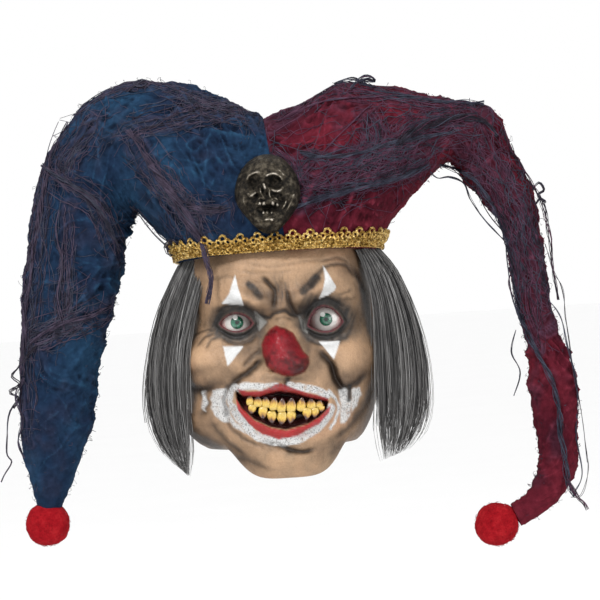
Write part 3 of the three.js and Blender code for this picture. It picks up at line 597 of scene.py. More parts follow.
def crushed(ring, crown, seed):
    """The height of the creases in millimetres. On the crown they run every way."""
    height = 3.0 * ripple(ring, 60, seed)
    warp = ripple(ring, 34, seed + 1) * 17 + ripple(ring, 13, seed + 2) * 6
    for k, (along, round_it, slant, high, sharp) in enumerate(CREASES):
        spot = ring.copy()
        spot[:, 0] += warp * (1 if k % 2 else -1) + slant * (ring[:, 1] - 0.4 * ring[:, 2])
        spot[:, 1] += ripple(ring, 40, seed + 30 + k) * 12 * crown
        patch = 0.45 + 0.55 * smooth(ripple(ring, 46, seed + 10 + k), -0.6, 0.5)
        long_way = crease(spot, (along, round_it, round_it), seed + 20 + k, sharp)
        every_way = crease(spot, (along + round_it) / 2.2, seed + 40 + k, sharp)
        height += high * patch * (long_way + (every_way - long_way) * crown)
    return height - 5.2


def hollows(height, columns, rows, reach):
    """How far each place stands above its neighbours' mean; negative in a valley."""
    grid = height.reshape(rows + 1, columns + 1)[:, :-1]
    mean = grid.copy()
    for _ in range(2):
        mean = sum(np.roll(mean, k, axis=1) for k in range(-reach, reach + 1)) / (2 * reach + 1)
        wide = np.vstack([mean[:1]] * reach + [mean] + [mean[-1:]] * reach)
        mean = sum(wide[k:k + rows + 1] for k in range(2 * reach + 1)) / (2 * reach + 1)
    above = grid - mean
    return np.hstack([above, above[:, :1]]).ravel()


# The crown ends at this cross-section, and the hem's inner edge is an oval: half sizes in metres.
CROWN_END = 3.1
HEM_WIDE, HEM_DEEP, HEM_RISE = 0.0855, 0.0885, 0.0005


def trim_brim(mesh):
    """Cuts the crown off at the brim, and turns the cut edge in towards the head."""
    bm = bmesh.new()
    bm.from_mesh(mesh)
    place = bm.verts.layers.float["place"]
    crown = [f for f in bm.faces if all(v[place] < CROWN_END for v in f.verts)]
    parts = {e for f in crown for e in f.edges} | {v for f in crown for v in f.verts}
    plane = Vector((0, 0, -BRIM_DROP * MM))
    up = Vector((0, np.tan(BRIM_PITCH), 1)).normalized()
    bmesh.ops.bisect_plane(
        bm, geom=crown + list(parts), dist=1e-6, plane_co=plane, plane_no=-up, clear_outer=True
    )
    edge = [
        e for e in bm.edges
        if e.is_boundary and all(abs((v.co - plane).dot(up)) < 2e-5 for v in e.verts)
    ]
    hem = bmesh.ops.extrude_edge_only(bm, edges=edge)["geom"]
    for vert in (v for v in hem if isinstance(v, bmesh.types.BMVert)):
        reach = Vector((vert.co.x / HEM_WIDE, vert.co.y / HEM_DEEP)).length
        vert.co.x /= reach
        vert.co.y /= reach
        vert.co.z = plane.z - vert.co.y * np.tan(BRIM_PITCH) + HEM_RISE
    loose = [v for v in bm.verts if not v.link_faces]
    bmesh.ops.delete(bm, geom=loose, context="VERTS")
    bm.to_mesh(mesh)
    bm.free()


CLOTH_ROUND = 200
CLOTH_LONG = 368


def cloth_half(horn, colours, seed):
    mesh, across, down = flat_grid("cap_" + horn.name, CLOTH_ROUND, CLOTH_LONG)
    around = 2 * pi * across + 0.42 * (np.cos(2 * pi * across) - 1)
    along = down * horn.length
    place = horn.place_at(along)
    seam = smooth(place, 0.0, 0.25)
    ring = ring_places(horn, place, along, around)
    height = crushed(ring, smooth(place, 5.0, 2.0), seed)
    height = height * (0.25 + 0.75 * seam) * (1 - 0.4 * smooth(down, 0.6, 1))
    base = horn.point(place, around)
    cover, streaks = gauze_cover(horn, base, np.sin(around))
    height = height * (1 - 0.3 * cover) + cover * (0.8 + 0.9 * streaks) - 1.5 * (1 - seam)
    move_to(mesh, horn.point(place, around, height))

    above = hollows(height, CLOTH_ROUND, CLOTH_LONG, 3)
    deep, low, mid, high, stain = (np.array(c, float) for c in colours)
    cloud = smooth(ripple(base, 48, seed + 60) + 0.6 * ripple(base, 17, seed + 61), -0.8, 0.8)
    shade = blend(np.tile(low, (len(base), 1)), mid, cloud)
    # Ridges are painted lighter, a painted highlight with some wear, and folds darker, as painted shade.
    shade = blend(shade, high, smooth(above, 0.3, 2.4) * 0.6)
    shade = blend(shade, deep, smooth(-above, 0.2, 1.9) * 0.85)
    shade *= (1 + 0.12 * ripple(base, 6, seed + 62))[:, None]
    # The gauze's tint is also painted lighter on the ridges and darker in the folds: painted highlight
    # and shade.
    thread = stain * (1 + 0.5 * streaks + 0.35 * np.clip(above, -1.5, 1.5))[:, None]
    veil = cover * (0.74 + 0.3 * streaks) * (0.8 + 0.25 * ripple(base, 9, seed + 63))
    haze = 0.42 * smooth(ripple(base, 24, seed + 64) + 0.5 * ripple(base, 8, seed + 65), 0.0, 1.0)
    veil = np.maximum(veil, haze * smooth(place, 0.6, 1.6))
    shade = blend(shade, np.clip(thread, 0.004, 1), np.clip(veil, 0, 0.95))
    tint(mesh, "dye", shade)
    weigh(mesh, "place", place)
    sew(mesh, 0.001)
    trim_brim(mesh)
    area = sum(face.area for face in mesh.polygons)
    print("cap_" + horn.name, "cloth area in square metres:", round(area, 3))
    return mesh


# Painted shade for the deep folds, dark and middle dye, painted highlight with some wear for
# the ridges, and the stain of the gauze.
BLUE = [(0.003, 0.005, 0.012), (0.008, 0.018, 0.042), (0.012, 0.036, 0.074),
        (0.02, 0.064, 0.122), (0.019, 0.018, 0.033)]
MAROON = [(0.016, 0.002, 0.004), (0.052, 0.006, 0.012), (0.092, 0.01, 0.018),
          (0.17, 0.024, 0.042), (0.032, 0.017, 0.029)]
blue_cloth = cloth_half(LEFT_HORN, BLUE, 100)
maroon_cloth = cloth_half(RIGHT_HORN, MAROON, 200)


# %% Cloth finish
def cloth_finish(name, hue):
    finish = Finish(name, Specular_IOR_Level=0.04)
    dye = finish.painted("dye")
    mottle = finish.noise(160, 5).between(0.3, 0.7)
    weave = finish.noise(900, 2, stretch=(1, 1, 3)) + finish.noise(900, 2, stretch=(3, 1, 1))
    tone = finish.ramp(mottle, (0, (0.72, 0.72, 0.74)), (1, (1.2, 1.2, 1.18)))
    colour = finish.mix(1.0, dye, tone, "MULTIPLY")
    fleck = finish.noise(420, 4, 0.7).between(0.62, 0.78)
    colour = finish.mix(fleck * 0.25, colour, hue)
    wrinkle = finish.noise(110, 6, 0.65) * 1.2 + weave * 0.35
    rough = finish.noise(60).between(0.2, 0.8) * 0.1 + 0.88
    return finish.done(colour, rough, wrinkle, 0.0014)


left_cap = dress(blue_cloth, "cap_left_cloth", cloth_finish("blue cotton", (0.03, 0.1, 0.16, 1)),
                 "blue_cloth", "cap_left")
right_cap = dress(maroon_cloth, "cap_right_cloth",
                  cloth_finish("maroon cotton", (0.2, 0.03, 0.06, 1)), "maroon_cloth", "cap_right")

# %% [markdown]
# ## Torn gauze
# The gauze is an open weave that was pulled apart by hand, so it is made as what is left of it:
# loose threads. They follow the bands listed above, wander and cross. In front each thread is
# aimed through the picture onto the cloth, and behind it follows the horn. Short fibres stand
# off the cloth all over, and a few strands have come away and hang by their ends.

# %% Gauze strands that stand out
# Picture places, how far the threads twist round the line, how many they are, and their paint.
LEFT_STRANDS = [
    ([(150, 165), (176, 198), (199, 236), (206, 260), (211, 282), (207, 304)], 3.2, 20, 0),
    ([(130, 206), (140, 216), (152, 232), (166, 246)], 0.9, 3, 1),
    ([(138, 209), (149, 222), (160, 236), (172, 244)], 0.7, 3, 1),
    ([(164, 243), (170, 250), (164, 246), (172, 240), (178, 248), (170, 256), (166, 246),
      (176, 242), (184, 246), (192, 244)], 2.0, 6, 2),
    ([(126, 92), (135, 85), (144, 81), (150, 83), (142, 87), (134, 84), (143, 80),
      (149, 85)], 2.2, 9, 0),
    ([(36, 345), (20, 366), (12, 376), (20, 384), (10, 392), (19, 398), (13, 408)], 1.5, 6, 2),
    ([(19, 398), (9, 414), (7, 436), (7, 454), (12, 462), (5, 474), (1, 482)], 0.8, 5, 0),
    ([(24, 378), (16, 396), (22, 420), (18, 442), (25, 458)], 1.6, 5, 0),
    ([(41, 165), (66, 182), (92, 199), (106, 222), (121, 252)], 2.4, 9, 1),
    ([(68, 122), (52, 154), (41, 204), (32, 262), (25, 322), (23, 376)], 2.6, 10, 0),
    ([(60, 210), (56, 236), (62, 268), (58, 300), (64, 330)], 1.8, 6, 0),
    ([(128, 130), (150, 164), (170, 194), (184, 220), (205, 246)], 2.8, 10, 0),
    ([(112, 306), (92, 316), (66, 322), (30, 342)], 2.0, 7, 0),
]
RIGHT_STRANDS = [
    ([(297, 207), (330, 196), (365, 187), (400, 178), (429, 165)], 2.6, 13, 1),
    ([(300, 152), (314, 157), (332, 155)], 1.6, 7, 1),
    ([(300, 152), (330, 157), (368, 150), (405, 140), (452, 132)], 1.8, 8, 1),
    ([(398, 142), (430, 124), (462, 117), (486, 122), (497, 136)], 4.0, 13, 2),
    ([(334, 84), (352, 80), (370, 86), (392, 94), (430, 100), (484, 103)], 2.6, 12, 1),
    ([(440, 165), (470, 176), (492, 206), (506, 238), (514, 280), (522, 322), (545, 365),
      (557, 400), (562, 440), (568, 480), (575, 496)], 3.2, 15, 1),
    ([(568, 478), (577, 497), (583, 503), (587, 510)], 2.0, 6, 2),
    ([(502, 130), (516, 158), (532, 184), (545, 212), (551, 250), (558, 300)], 2.4, 9, 2),
    ([(545, 244), (553, 270), (563, 292), (568, 338), (579, 398), (585, 440), (588, 468),
      (582, 494), (571, 497)], 0.9, 3, 2),
    ([(548, 300), (562, 320), (569, 352), (577, 392), (577, 440), (582, 474), (575, 492)], 1.6, 3, 1),
    ([(430, 172), (438, 178), (450, 177), (464, 184), (471, 200), (488, 224), (506, 242)], 0.9, 4, 1),
    ([(452, 168), (474, 190), (489, 214), (504, 232)], 0.8, 3, 2),
    ([(505, 236), (507, 262), (511, 290), (521, 322)], 1.0, 4, 1),
    ([(506, 244), (513, 264), (509, 284), (518, 306)], 0.7, 3, 2),
    ([(350, 88), (357, 81), (363, 77), (371, 77), (375, 81), (367, 80), (359, 83),
      (372, 86)], 2.0, 8, 1),
    ([(533, 190), (539, 183), (544, 190), (538, 195), (546, 202), (540, 199), (536, 204)], 1.3, 6, 2),
    ([(516, 330), (511, 352), (520, 372), (514, 396)], 0.9, 3, 1),
    ([(278, 122), (312, 104), (350, 98), (392, 96)], 1.4, 6, 0),
    ([(292, 190), (318, 158), (346, 128), (372, 104)], 0.8, 3, 0),
]

# %% Threads on the cloth
cloths = [surface_of(blue_cloth), surface_of(maroon_cloth)]


def wander(along, size, seed):
    """A soft random curve from -1 to 1 over a length."""
    return ripple(np.stack([along, 0 * along, 0 * along], 1), size, seed)


def draped(tree, spots, lift, middle=None, swing=0.0):
    """Picture places laid on the cloth. Past its edge they keep the depth of the edge and swing
    forwards, or are drawn in towards the middle line of their band."""
    depths = np.full(len(spots), np.nan)
    spots = np.array(spots)
    for k, spot in enumerate(spots):
        start = spot.copy()
        for pull in (1, 0.8, 0.55, 0.3, 0) if middle is not None else (1,):
            spots[k] = start if pull == 1 else middle[k] + (start - middle[k]) * pull
            aim = Vector(unit(from_picture(*spots[k], 0.0) - EYE))
            hit, normal, _, _ = tree.ray_cast(Vector(EYE), aim)
            if hit is not None and normal.dot(aim) < -0.08:
                depths[k] = hit.y
                break
    steps = np.arange(len(spots))
    known = ~np.isnan(depths)
    depths = np.interp(steps, steps[known], depths[known]) if known.any() else 0.0 * steps
    taut = np.convolve(np.r_[depths[0], depths, depths[-1]], np.ones(3) / 3, "valid")
    free = np.convolve(np.pad(1.0 - known, 4, mode="edge"), np.ones(9) / 9, "valid")
    return from_picture(spots[:, 0], spots[:, 1], np.minimum(depths, taut) - lift - swing * free)


def band_threads(horn, tree, pick):
    threads = []
    for line, half in horn.bands:
        length = np.linalg.norm(np.diff(line, axis=0), axis=1).sum()
        for _ in range(int(half * 2.6) + 5):
            start = pick.uniform(0, 0.5)
            end = pick.uniform(start + 0.3, 1)
            share = np.linspace(start, end, max(5, int(length * (end - start) / 4.5)))
            middle = row_at(line, share * (len(line) - 1))
            along = unit(np.gradient(middle, axis=0))
            off = pick.normal(0, 0.75) + 0.6 * wander(share * length, 26, pick.integers(1e6))
            off += 0.16 * wander(share * length, 6, pick.integers(1e6))
            spots = middle + along[:, ::-1] * [-1, 1] * (half * off)[:, None]
            points = draped(tree, spots, pick.uniform(0.3, 1.3), middle)
            paint = pick.choice(3, p=(0.55, 0.35, 0.1))
            threads.append((points, pick.uniform(0.2, 0.46), paint))
    return threads


def crossing_threads(horn, tree, pick, count):
    """Short threads of the weave that run across the bands."""
    threads = []
    weights = np.array([half * len(line) for line, half in horn.bands], float)
    for _ in range(count):
        line, half = horn.bands[pick.choice(len(weights), p=weights / weights.sum())]
        share = pick.uniform(0, 1)
        middle = row_at(line, [share * (len(line) - 1)])[0]
        turn = pick.uniform(0, 2 * pi)
        reach = pick.uniform(0.4, 1.5) * half + 4
        steps = np.linspace(-1, 1, 6)
        bow = pick.normal(0, 2.2) * (1 - steps**2) + pick.normal(0, 0.7, 6)
        aim, side = np.array([cos(turn), sin(turn)]), np.array([-sin(turn), cos(turn)])
        spots = middle + pick.normal(0, half / 1.5 + 3, 2)
        spots = spots + np.outer(steps * reach, aim) + np.outer(bow, side)
        points = draped(tree, spots, pick.uniform(0.4, 1.4), np.tile(middle, (6, 1)))
        threads.append((points, pick.uniform(0.16, 0.3), pick.choice(3, p=(0.55, 0.35, 0.1))))
    return threads


def on_nearest(tree, points, lift):
    """Points moved to the cloth and lifted off it."""
    laid = []
    for point, off in zip(points, np.broadcast_to(lift, len(points))):
        spot, normal, _, _ = tree.find_nearest(Vector(point))
        laid.append(np.array(spot) + np.array(normal) * off)
    return np.array(laid)


def back_threads(horn, tree, pick):
    threads = []
    for start, end, turn, last_turn, half in horn.back:
        for _ in range(int(half * 1.3) + 4):
            first = pick.uniform(0, 0.5)
            share = np.linspace(first, pick.uniform(first + 0.35, 1), 32)
            place = start + (end - start) * share
            seed = pick.integers(1e6)
            off = (pick.uniform(-1, 1) + 0.5 * wander(share * 30, 4, seed)) * half * 0.018
            around = np.radians(turn + (last_turn - turn) * share + 10 * np.sin(share * 9)) + off
            points = on_nearest(tree, horn.point(place, around, 2.0), pick.uniform(0.4, 1.4))
            threads.append((points, pick.uniform(0.22, 0.5), pick.choice(3, p=(0.5, 0.3, 0.2))))
    return threads


def stray_fibres(horn, tree, pick, count):
    """Short curled fibres that stand off the cloth on every side."""
    threads = []
    for _ in range(count):
        place = pick.uniform(0.5, horn.tip - 0.4)
        around = pick.choice([0.0, pi]) + pick.normal(0, 0.5) if pick.random() < 0.6 \
            else pick.uniform(0, 2 * pi)
        drift = np.cumsum(pick.normal(0, 0.02, (5, 2)), axis=0)
        steps = np.linspace(0, 1, 5)
        reach = pick.uniform(0.02, 0.12)
        lift = 0.3 + pick.uniform(1.0, 4.5) * np.sin(steps * pick.uniform(1.5, 3.0))
        points = horn.point(place + steps * reach * pick.choice([-1, 1]) + drift[:, 0],
                            around + drift[:, 1] * 1.5, 0.0)
        threads.append((on_nearest(tree, points, lift), pick.uniform(0.13, 0.24), pick.choice(3)))
    return threads


def twisted_strands(tree, strands, pick):
    threads = []
    for line, spread, count, paint in strands:
        length = np.linalg.norm(np.diff(line, axis=0), axis=1).sum()
        steps = max(20, int(length / 4))
        path = draped(tree, smooth_line(line, steps), 1.2 + spread * 0.7, swing=11.0)
        travel = np.r_[0, np.cumsum(np.linalg.norm(np.diff(path, axis=0), axis=1))]
        side = unit(np.cross(unit(np.gradient(path, axis=0)), AHEAD))
        for k in range(count):
            turn = travel / pick.uniform(7, 16) + pick.uniform(0, 2 * pi)
            loose = spread * (0.55 + 0.6 * wander(travel, 22, pick.integers(1e6)))
            off = side * (loose * np.cos(turn))[:, None] + np.outer(loose * np.sin(turn), AHEAD) * 0.7
            first = 0 if k % 3 else pick.integers(0, steps // 3)
            last = steps if k % 4 else steps - pick.integers(0, steps // 3)
            points = (path + off)[first:last]
            tone = paint if pick.random() < 0.7 else pick.choice(3)
            threads.append((points, pick.uniform(0.24, 0.5), tone))
    return threads


CROSSING_THREADS, STRAY_FIBRES = 460, 320


def gauze_threads(horn, tree, strands, seed):
    pick = np.random.default_rng(seed)
    threads = band_threads(horn, tree, pick) + crossing_threads(horn, tree, pick, CROSSING_THREADS)
    threads += back_threads(horn, tree, pick) + stray_fibres(horn, tree, pick, STRAY_FIBRES)
    return threads + twisted_strands(tree, strands, pick)


def thread_finish(name, dark, pale):
    finish = Finish(name, Specular_IOR_Level=0.08)
    cloud = finish.noise(95, 4).between(0.35, 0.65)
    ply = finish.noise(1500, 2).between(0.3, 0.7)
    colour = finish.ramp(cloud * 0.65 + ply * 0.35, (0, dark), (1, pale))
    return finish.done(colour, cloud * 0.1 + 0.85, ply, 0.0003)


dusk = thread_finish("dusky gauze", (0.02, 0.016, 0.026), (0.08, 0.062, 0.095))
slate = thread_finish("slate gauze", (0.015, 0.016, 0.026), (0.06, 0.064, 0.092))
soot = thread_finish("sooty gauze", (0.008, 0.007, 0.01), (0.036, 0.031, 0.044))
plum = thread_finish("plum gauze", (0.036, 0.012, 0.024), (0.1, 0.045, 0.075))
for horn, tree, strands, paints, seed in (
    (LEFT_HORN, cloths[0], LEFT_STRANDS, (dusk, slate, soot), 31),
    (RIGHT_HORN, cloths[1], RIGHT_STRANDS, (plum, slate, soot), 32),
):
    threads = gauze_threads(horn, tree, strands, seed)
    name = "gauze_" + horn.name + "_threads"
    dress(cords(name, threads, paints), name, None, "gauze", "gauze_" + horn.name)

# %% [markdown]
# ## The rubber face
# A latex mask is slush-cast: a thin, even skin with the sculptor's lumps and grooves on its
# outside, then airbrushed and hand-painted. One closed grid makes both sides of it. It starts
# at the crown, runs down the outside to the neck, turns over the rim, and comes back up
# inside. The lumps and grooves are given at their places in the picture and push the rubber
# towards the camera, so each one stays where it was seen.

# %% Shape of the bare head
HEAD_ROWS = [
    (-0.009, 0, 0, 0, 0), (0.02, 0.5, 0.5, 0.5, 0), (0.09, 0.79, 0.8, 0.82, 0),
    (0.19, 0.92, 0.95, 0.97, 0), (0.27, 0.95, 1, 1, 0), (0.34, 0.96, 1.03, 1, 0),
    (0.42, 0.95, 0.97, 0.99, 0), (0.49, 0.98, 0.95, 0.97, 0), (0.56, 1.02, 0.97, 0.94, 0),
    (0.64, 1.01, 1, 0.9, 0), (0.72, 0.97, 1.02, 0.87, 0.01), (0.79, 0.92, 1.03, 0.85, 0.03),
    (0.84, 0.85, 1.03, 0.83, 0.07), (0.86, 0.8, 0.98, 0.81, 0.11),
    (0.87, 0.77, 0.8, 0.79, 0.08),
]
HEAD_HALF, FOREHEAD_REACH, NAPE_REACH, FACE_DROP, NECK_SHIFT = 95.5, 96.0, 98.0, 273.0, -9.0


def head_point(place, turn, inwards=0.0):
    """A point of the bare head; turn is the angle from the nose towards +X."""
    down, wide, front, back, dip = row_at(HEAD_ROWS, place).T
    facing = np.cos(turn)
    across = np.sign(np.sin(turn)) * np.abs(np.sin(turn)) ** 0.88
    ahead = np.sign(facing) * np.abs(facing) ** 0.88
    reach = np.where(facing > 0, front * FOREHEAD_REACH, back * NAPE_REACH) - inwards
    lean = NECK_SHIFT * smooth(down, 0.6, 0.88) * (1 - facing) * 0.7
    fall = down + dip * smooth(facing, 0.66, 1)
    side = np.maximum(wide * HEAD_HALF - inwards, 0)
    top = inwards * smooth(place, 3, 0)
    return np.stack([side * across + lean, -np.maximum(reach, 0) * ahead,
                     -fall * FACE_DROP - top], 1)


# %% Lumps and grooves of the face
# What it is, middle in the picture, half sizes and tilt in degrees, height in millimetres.
LUMPS = [
    ("brow", (243, 298), (24, 9), -20, 8), ("brow", (316, 289), (25, 10), 27, 9),
    ("inner brow", (262, 303), (10, 8), 0, 4), ("inner brow", (302, 300), (10, 8), 0, 4),
    ("socket", (237, 325), (27, 17), 0, -11), ("socket", (326, 321), (29, 19), 0, -11),
    ("root of nose", (281, 322), (9, 15), 0, 9), ("nose", (285, 351), (26, 27), 0, 9),
    ("wing", (269, 364), (8, 7), 0, 3), ("wing", (302, 363), (9, 8), 0, 4),
    ("tip", (277, 344), (9, 10), 0, 2),
    ("cheek", (203, 359), (20, 22), 20, 12), ("cheek", (349, 353), (18, 27), -12, 13),
    ("cheekbone", (240, 362), (16, 10), 35, 4), ("cheekbone", (322, 352), (12, 9), -35, 3),
    ("muzzle", (283, 405), (60, 36), 0, 12), ("chin", (285, 461), (34, 15), 0, 9),
    ("jowl", (205, 425), (14, 24), 20, 5), ("jowl", (357, 420), (12, 22), -20, 5),
    ("forehead", (283, 268), (60, 14), 0, 3), ("hollow", (196, 300), (10, 20), 0, -4),
    ("hollow", (366, 300), (10, 26), 0, -5), ("temple", (340, 275), (18, 10), -25, 3),
]
# Places of the cheeks and jowls that also bulge sideways, by how many millimetres.
SIDEWAYS = [((198, 358), (16, 24), -6), ((198, 428), (16, 24), -12), ((368, 350), (14, 26), 4)]
# Middle line in the picture, half width, depth in millimetres, and how dark it is painted: the
# mask's own airbrush together with painted shade in the groove.
GROOVES = [
    ([(263, 358), (250, 371), (234, 383), (229, 396)], 3.0, 4.5, 0.9),
    ([(262, 349), (252, 357), (243, 368)], 2.4, 2.0, 0.5),
    ([(318, 350), (331, 364), (337, 380), (349, 396)], 3.2, 5.0, 0.95),
    ([(184, 366), (190, 383), (203, 390), (215, 386)], 3.2, 4.5, 0.9),
    ([(203, 390), (209, 402), (208, 416)], 2.6, 2.5, 0.6),
    ([(185, 392), (190, 412), (204, 436), (228, 454)], 3.4, 3.0, 0.7),
    ([(331, 360), (334, 376), (342, 388), (354, 384), (366, 372)], 3.0, 4.0, 0.85),
    ([(372, 382), (366, 402), (352, 424), (332, 440)], 3.4, 3.0, 0.6),
    ([(226, 388), (222, 404), (229, 424), (244, 439), (262, 446)], 2.0, 2.0, 0.45),
    ([(214, 420), (226, 440), (246, 456)], 2.4, 2.0, 0.5),
    ([(262, 442), (277, 445), (290, 450), (302, 452), (315, 449)], 2.2, 4.0, 0.95),
    ([(232, 456), (252, 462), (268, 470)], 2.4, 1.5, 0.4),
    ([(287, 377), (286.5, 387)], 2.4, 2.5, 0.95),
    ([(262, 277), (271, 286), (275, 293), (273, 309)], 2.2, 3.6, 0.85),
    ([(287, 289), (289, 302), (296, 315)], 2.2, 3.4, 0.8),
    ([(281, 279), (281, 300)], 3.4, 1.2, 0.35),
    ([(252, 312), (266, 318), (276, 313), (284, 311), (294, 315), (306, 314)], 1.8, 2.6, 0.95),
    ([(274, 321), (283.6, 317.5), (293, 321)], 1.5, 1.4, 0.4),
    ([(308, 290), (318, 274), (331, 265), (346, 266), (353, 276)], 1.8, 2.4, 0.6),
    ([(320, 262), (338, 258), (350, 264)], 1.4, 1.6, 0.4),
    ([(352, 266), (362, 288), (368, 312), (369, 332), (376, 344)], 2.4, 3.0, 0.85),
    ([(338, 295), (352, 290)], 1.3, 1.2, 0.4), ([(342, 300), (356, 298)], 1.3, 1.0, 0.3),
    ([(197, 336), (206, 331), (214, 331)], 1.1, 1.2, 0.5),
    ([(202, 346), (207, 337), (215, 334)], 1.1, 1.2, 0.55),
    ([(209, 349), (213, 340), (219, 337)], 1.1, 1.0, 0.5),
    ([(221, 328), (229, 336), (240, 338), (252, 331)], 1.6, 2.0, 0.8),
    ([(222, 337), (234, 344), (248, 342), (258, 334)], 1.8, 2.0, 0.6),
    ([(308, 331), (318, 337), (332, 337), (345, 327)], 1.6, 2.0, 0.8),
    ([(304, 333), (316, 343), (334, 343), (349, 333)], 1.8, 1.8, 0.6),
    ([(216, 316), (226, 307), (240, 305), (254, 313)], 1.8, 2.6, 0.9),
    ([(305, 314), (314, 303), (328, 299), (344, 307)], 1.8, 2.6, 0.9),
    ([(206, 282), (226, 276), (236, 280)], 1.6, 1.0, 0.2),
    ([(240, 262), (270, 266), (300, 262), (325, 260)], 1.6, 0.9, 0.16),
    ([(236, 270), (262, 273), (296, 269)], 1.6, 0.8, 0.14),
    ([(188, 340), (193, 352), (188, 362)], 2.0, 1.6, 0.4),
]
MOUTH = [(236, 391), (243, 396), (259, 396.5), (270, 393), (279, 391), (294, 393), (308, 397),
         (328, 401), (327, 409), (319, 417), (307, 424), (286, 429.5), (271, 427), (254, 419),
         (242, 408), (237, 399)]
UPPER_TEETH = [(250, 400), (258, 401), (266, 402), (274, 403.5), (282, 405), (291.5, 404.5),
               (301.5, 404), (311, 403.3), (319.5, 403.5)]
LOWER_TEETH = [(252, 409.5), (263, 413), (272, 417.5), (282, 418.5), (291, 417.5), (307, 414),
               (315, 413), (321.5, 409)]


def lid_outline(left, right, top, bottom, steps=14):
    """The almond between two eyelids, from its corners and its highest and lowest points."""
    left, right = np.array(left, float), np.array(right, float)
    share = np.linspace(0, 1, steps)
    chord = left + np.outer(share, right - left)
    sides = []
    for peak in (top, bottom):
        at = np.clip((peak[0] - left[0]) / (right[0] - left[0]), 0.2, 0.8)
        reach = np.array(peak, float) - (left + at * (right - left))
        swing = (1 - (2 * share ** (np.log(0.5) / np.log(at)) - 1) ** 2) ** 0.85
        sides.append(chord + np.outer(swing, (0, reach[1])))
    return np.vstack([sides[0], sides[1][-2:0:-1]])


LIDS = {
    "left": lid_outline((220.5, 324), (252.5, 323), (236, 314), (237, 331)),
    "right": lid_outline((308.5, 325.5), (342, 321.5), (322.8, 306.8), (327.5, 331)),
}
EYE_REST = -60.0
NOSE = [(276, 325.5), (285, 328), (293, 333), (299, 343), (303, 351), (308.5, 357), (309.5, 364),
        (305, 372), (294, 376.5), (284, 375.5), (273, 372), (266.5, 366), (263, 356), (262, 345),
        (265, 336), (270, 329)]
SLITS = {"left": [(255, 312), (266.6, 322), (259.4, 330)],
         "right": [(299.5, 317), (303, 330), (307, 333), (304, 322)]}


def bump_at(seen, middle, half, tilt):
    off = (seen - middle) * (1, -1)
    c, s = cos(radians(tilt)), sin(radians(tilt))
    first = (off[:, 0] * c + off[:, 1] * s) / half[0]
    second = (-off[:, 0] * s + off[:, 1] * c) / half[1]
    return first**2 + second**2


def groove_at(seen, line, half):
    gap, share = from_line(seen, smooth_line(line, 4 * len(line)))
    ends = smooth(share, -0.02, 0.16) * smooth(1.02 - share, 0, 0.18)
    return np.exp(-((gap / half) ** 2)) * (0.25 + 0.75 * ends)


def nape_folds(base):
    """Folds where the loose rubber creases behind the head."""
    return crease(base * (0.6, 0.6, 1.6), 18, 47, 2)


def face_relief(seen, base, facing):
    """How far the rubber stands out towards the camera, in millimetres."""
    out = np.zeros(len(seen))
    for _, middle, half, tilt, high in LUMPS:
        out += high * np.exp(-bump_at(seen, middle, half, tilt))
    ball = np.clip(inside_by(seen, NOSE) / 20, 0, 1)
    out += 17 * (1 - (1 - ball) ** 2) ** 0.6
    for line, half, deep, _ in GROOVES:
        out -= deep * groove_at(seen, line, half)
    for nostril, half in (((272, 371), (4, 1.8)), ((300, 367.5), (6, 2.2))):
        out -= 4.5 * np.exp(-bump_at(seen, nostril, half, 15))
    out += 1.1 * ripple(base, 6.5, 45) * smooth(ball, 0, 0.3)
    out += 0.5 * ripple(base, 7, 41) + 0.8 * ripple(base, 19, 42)
    wrinkled = base * (1, 1, 2.4)
    out -= 0.55 * crease(wrinkled, 16, 43, 3) * smooth(seen[:, 1], 330, 300)
    out -= 0.35 * crease(base, 8, 44, 3)

    lips = inside_by(seen, MOUTH)
    out += 3.6 * np.exp(-(((lips + 4.0) / 4.2) ** 2))
    room = smooth(lips, -0.8, 2.2)
    rows = np.minimum(from_line(seen, UPPER_TEETH)[0] + 1.5, from_line(seen, LOWER_TEETH)[0])
    out = out * (1 - room) + room * (-13 + 12 * np.exp(-((rows / 6.5) ** 2)))
    for lids in LIDS.values():
        gap = inside_by(seen, lids)
        out += 2.2 * np.exp(-(((gap + 2.0) / 1.5) ** 2)) - 1.2 * np.exp(-(((gap + 5.5) / 1.6) ** 2))
        hole = smooth(gap, -0.6, 1.8)
        out = out * (1 - hole) + hole * (base[:, 1] - EYE_REST)
    for slit in SLITS.values():
        hole = smooth(inside_by(seen, slit), -0.8, 1.2)
        out -= 6 * hole
    folds = 1.6 * ripple(base * (1, 1, 2.6), 26, 46) - 1.6 * nape_folds(base)
    return out * smooth(facing, 0, 0.3) + folds * smooth(-facing, -0.1, 0.3)


# %% Paint of the face
SKIN = np.array([0.29, 0.182, 0.106])
PINK_SKIN = np.array([0.3, 0.15, 0.09])
OLIVE = np.array([0.17, 0.125, 0.08])
UMBER = np.array([0.026, 0.015, 0.009])
# Black paint, also used as painted shade inside the lids, round the slits and in the mouth's corner
# folds.
BLACK_PAINT_AND_SHADE = np.array([0.009, 0.008, 0.0075])
WHITE = np.array([0.49, 0.49, 0.485])
LIP_RED = np.array([0.24, 0.002, 0.006])
NOSE_RED = np.array([0.19, 0.004, 0.01])
MAW = np.array([0.008, 0.003, 0.003])
GUM = np.array([0.07, 0.014, 0.014])
LID_PINK = np.array([0.17, 0.035, 0.05])
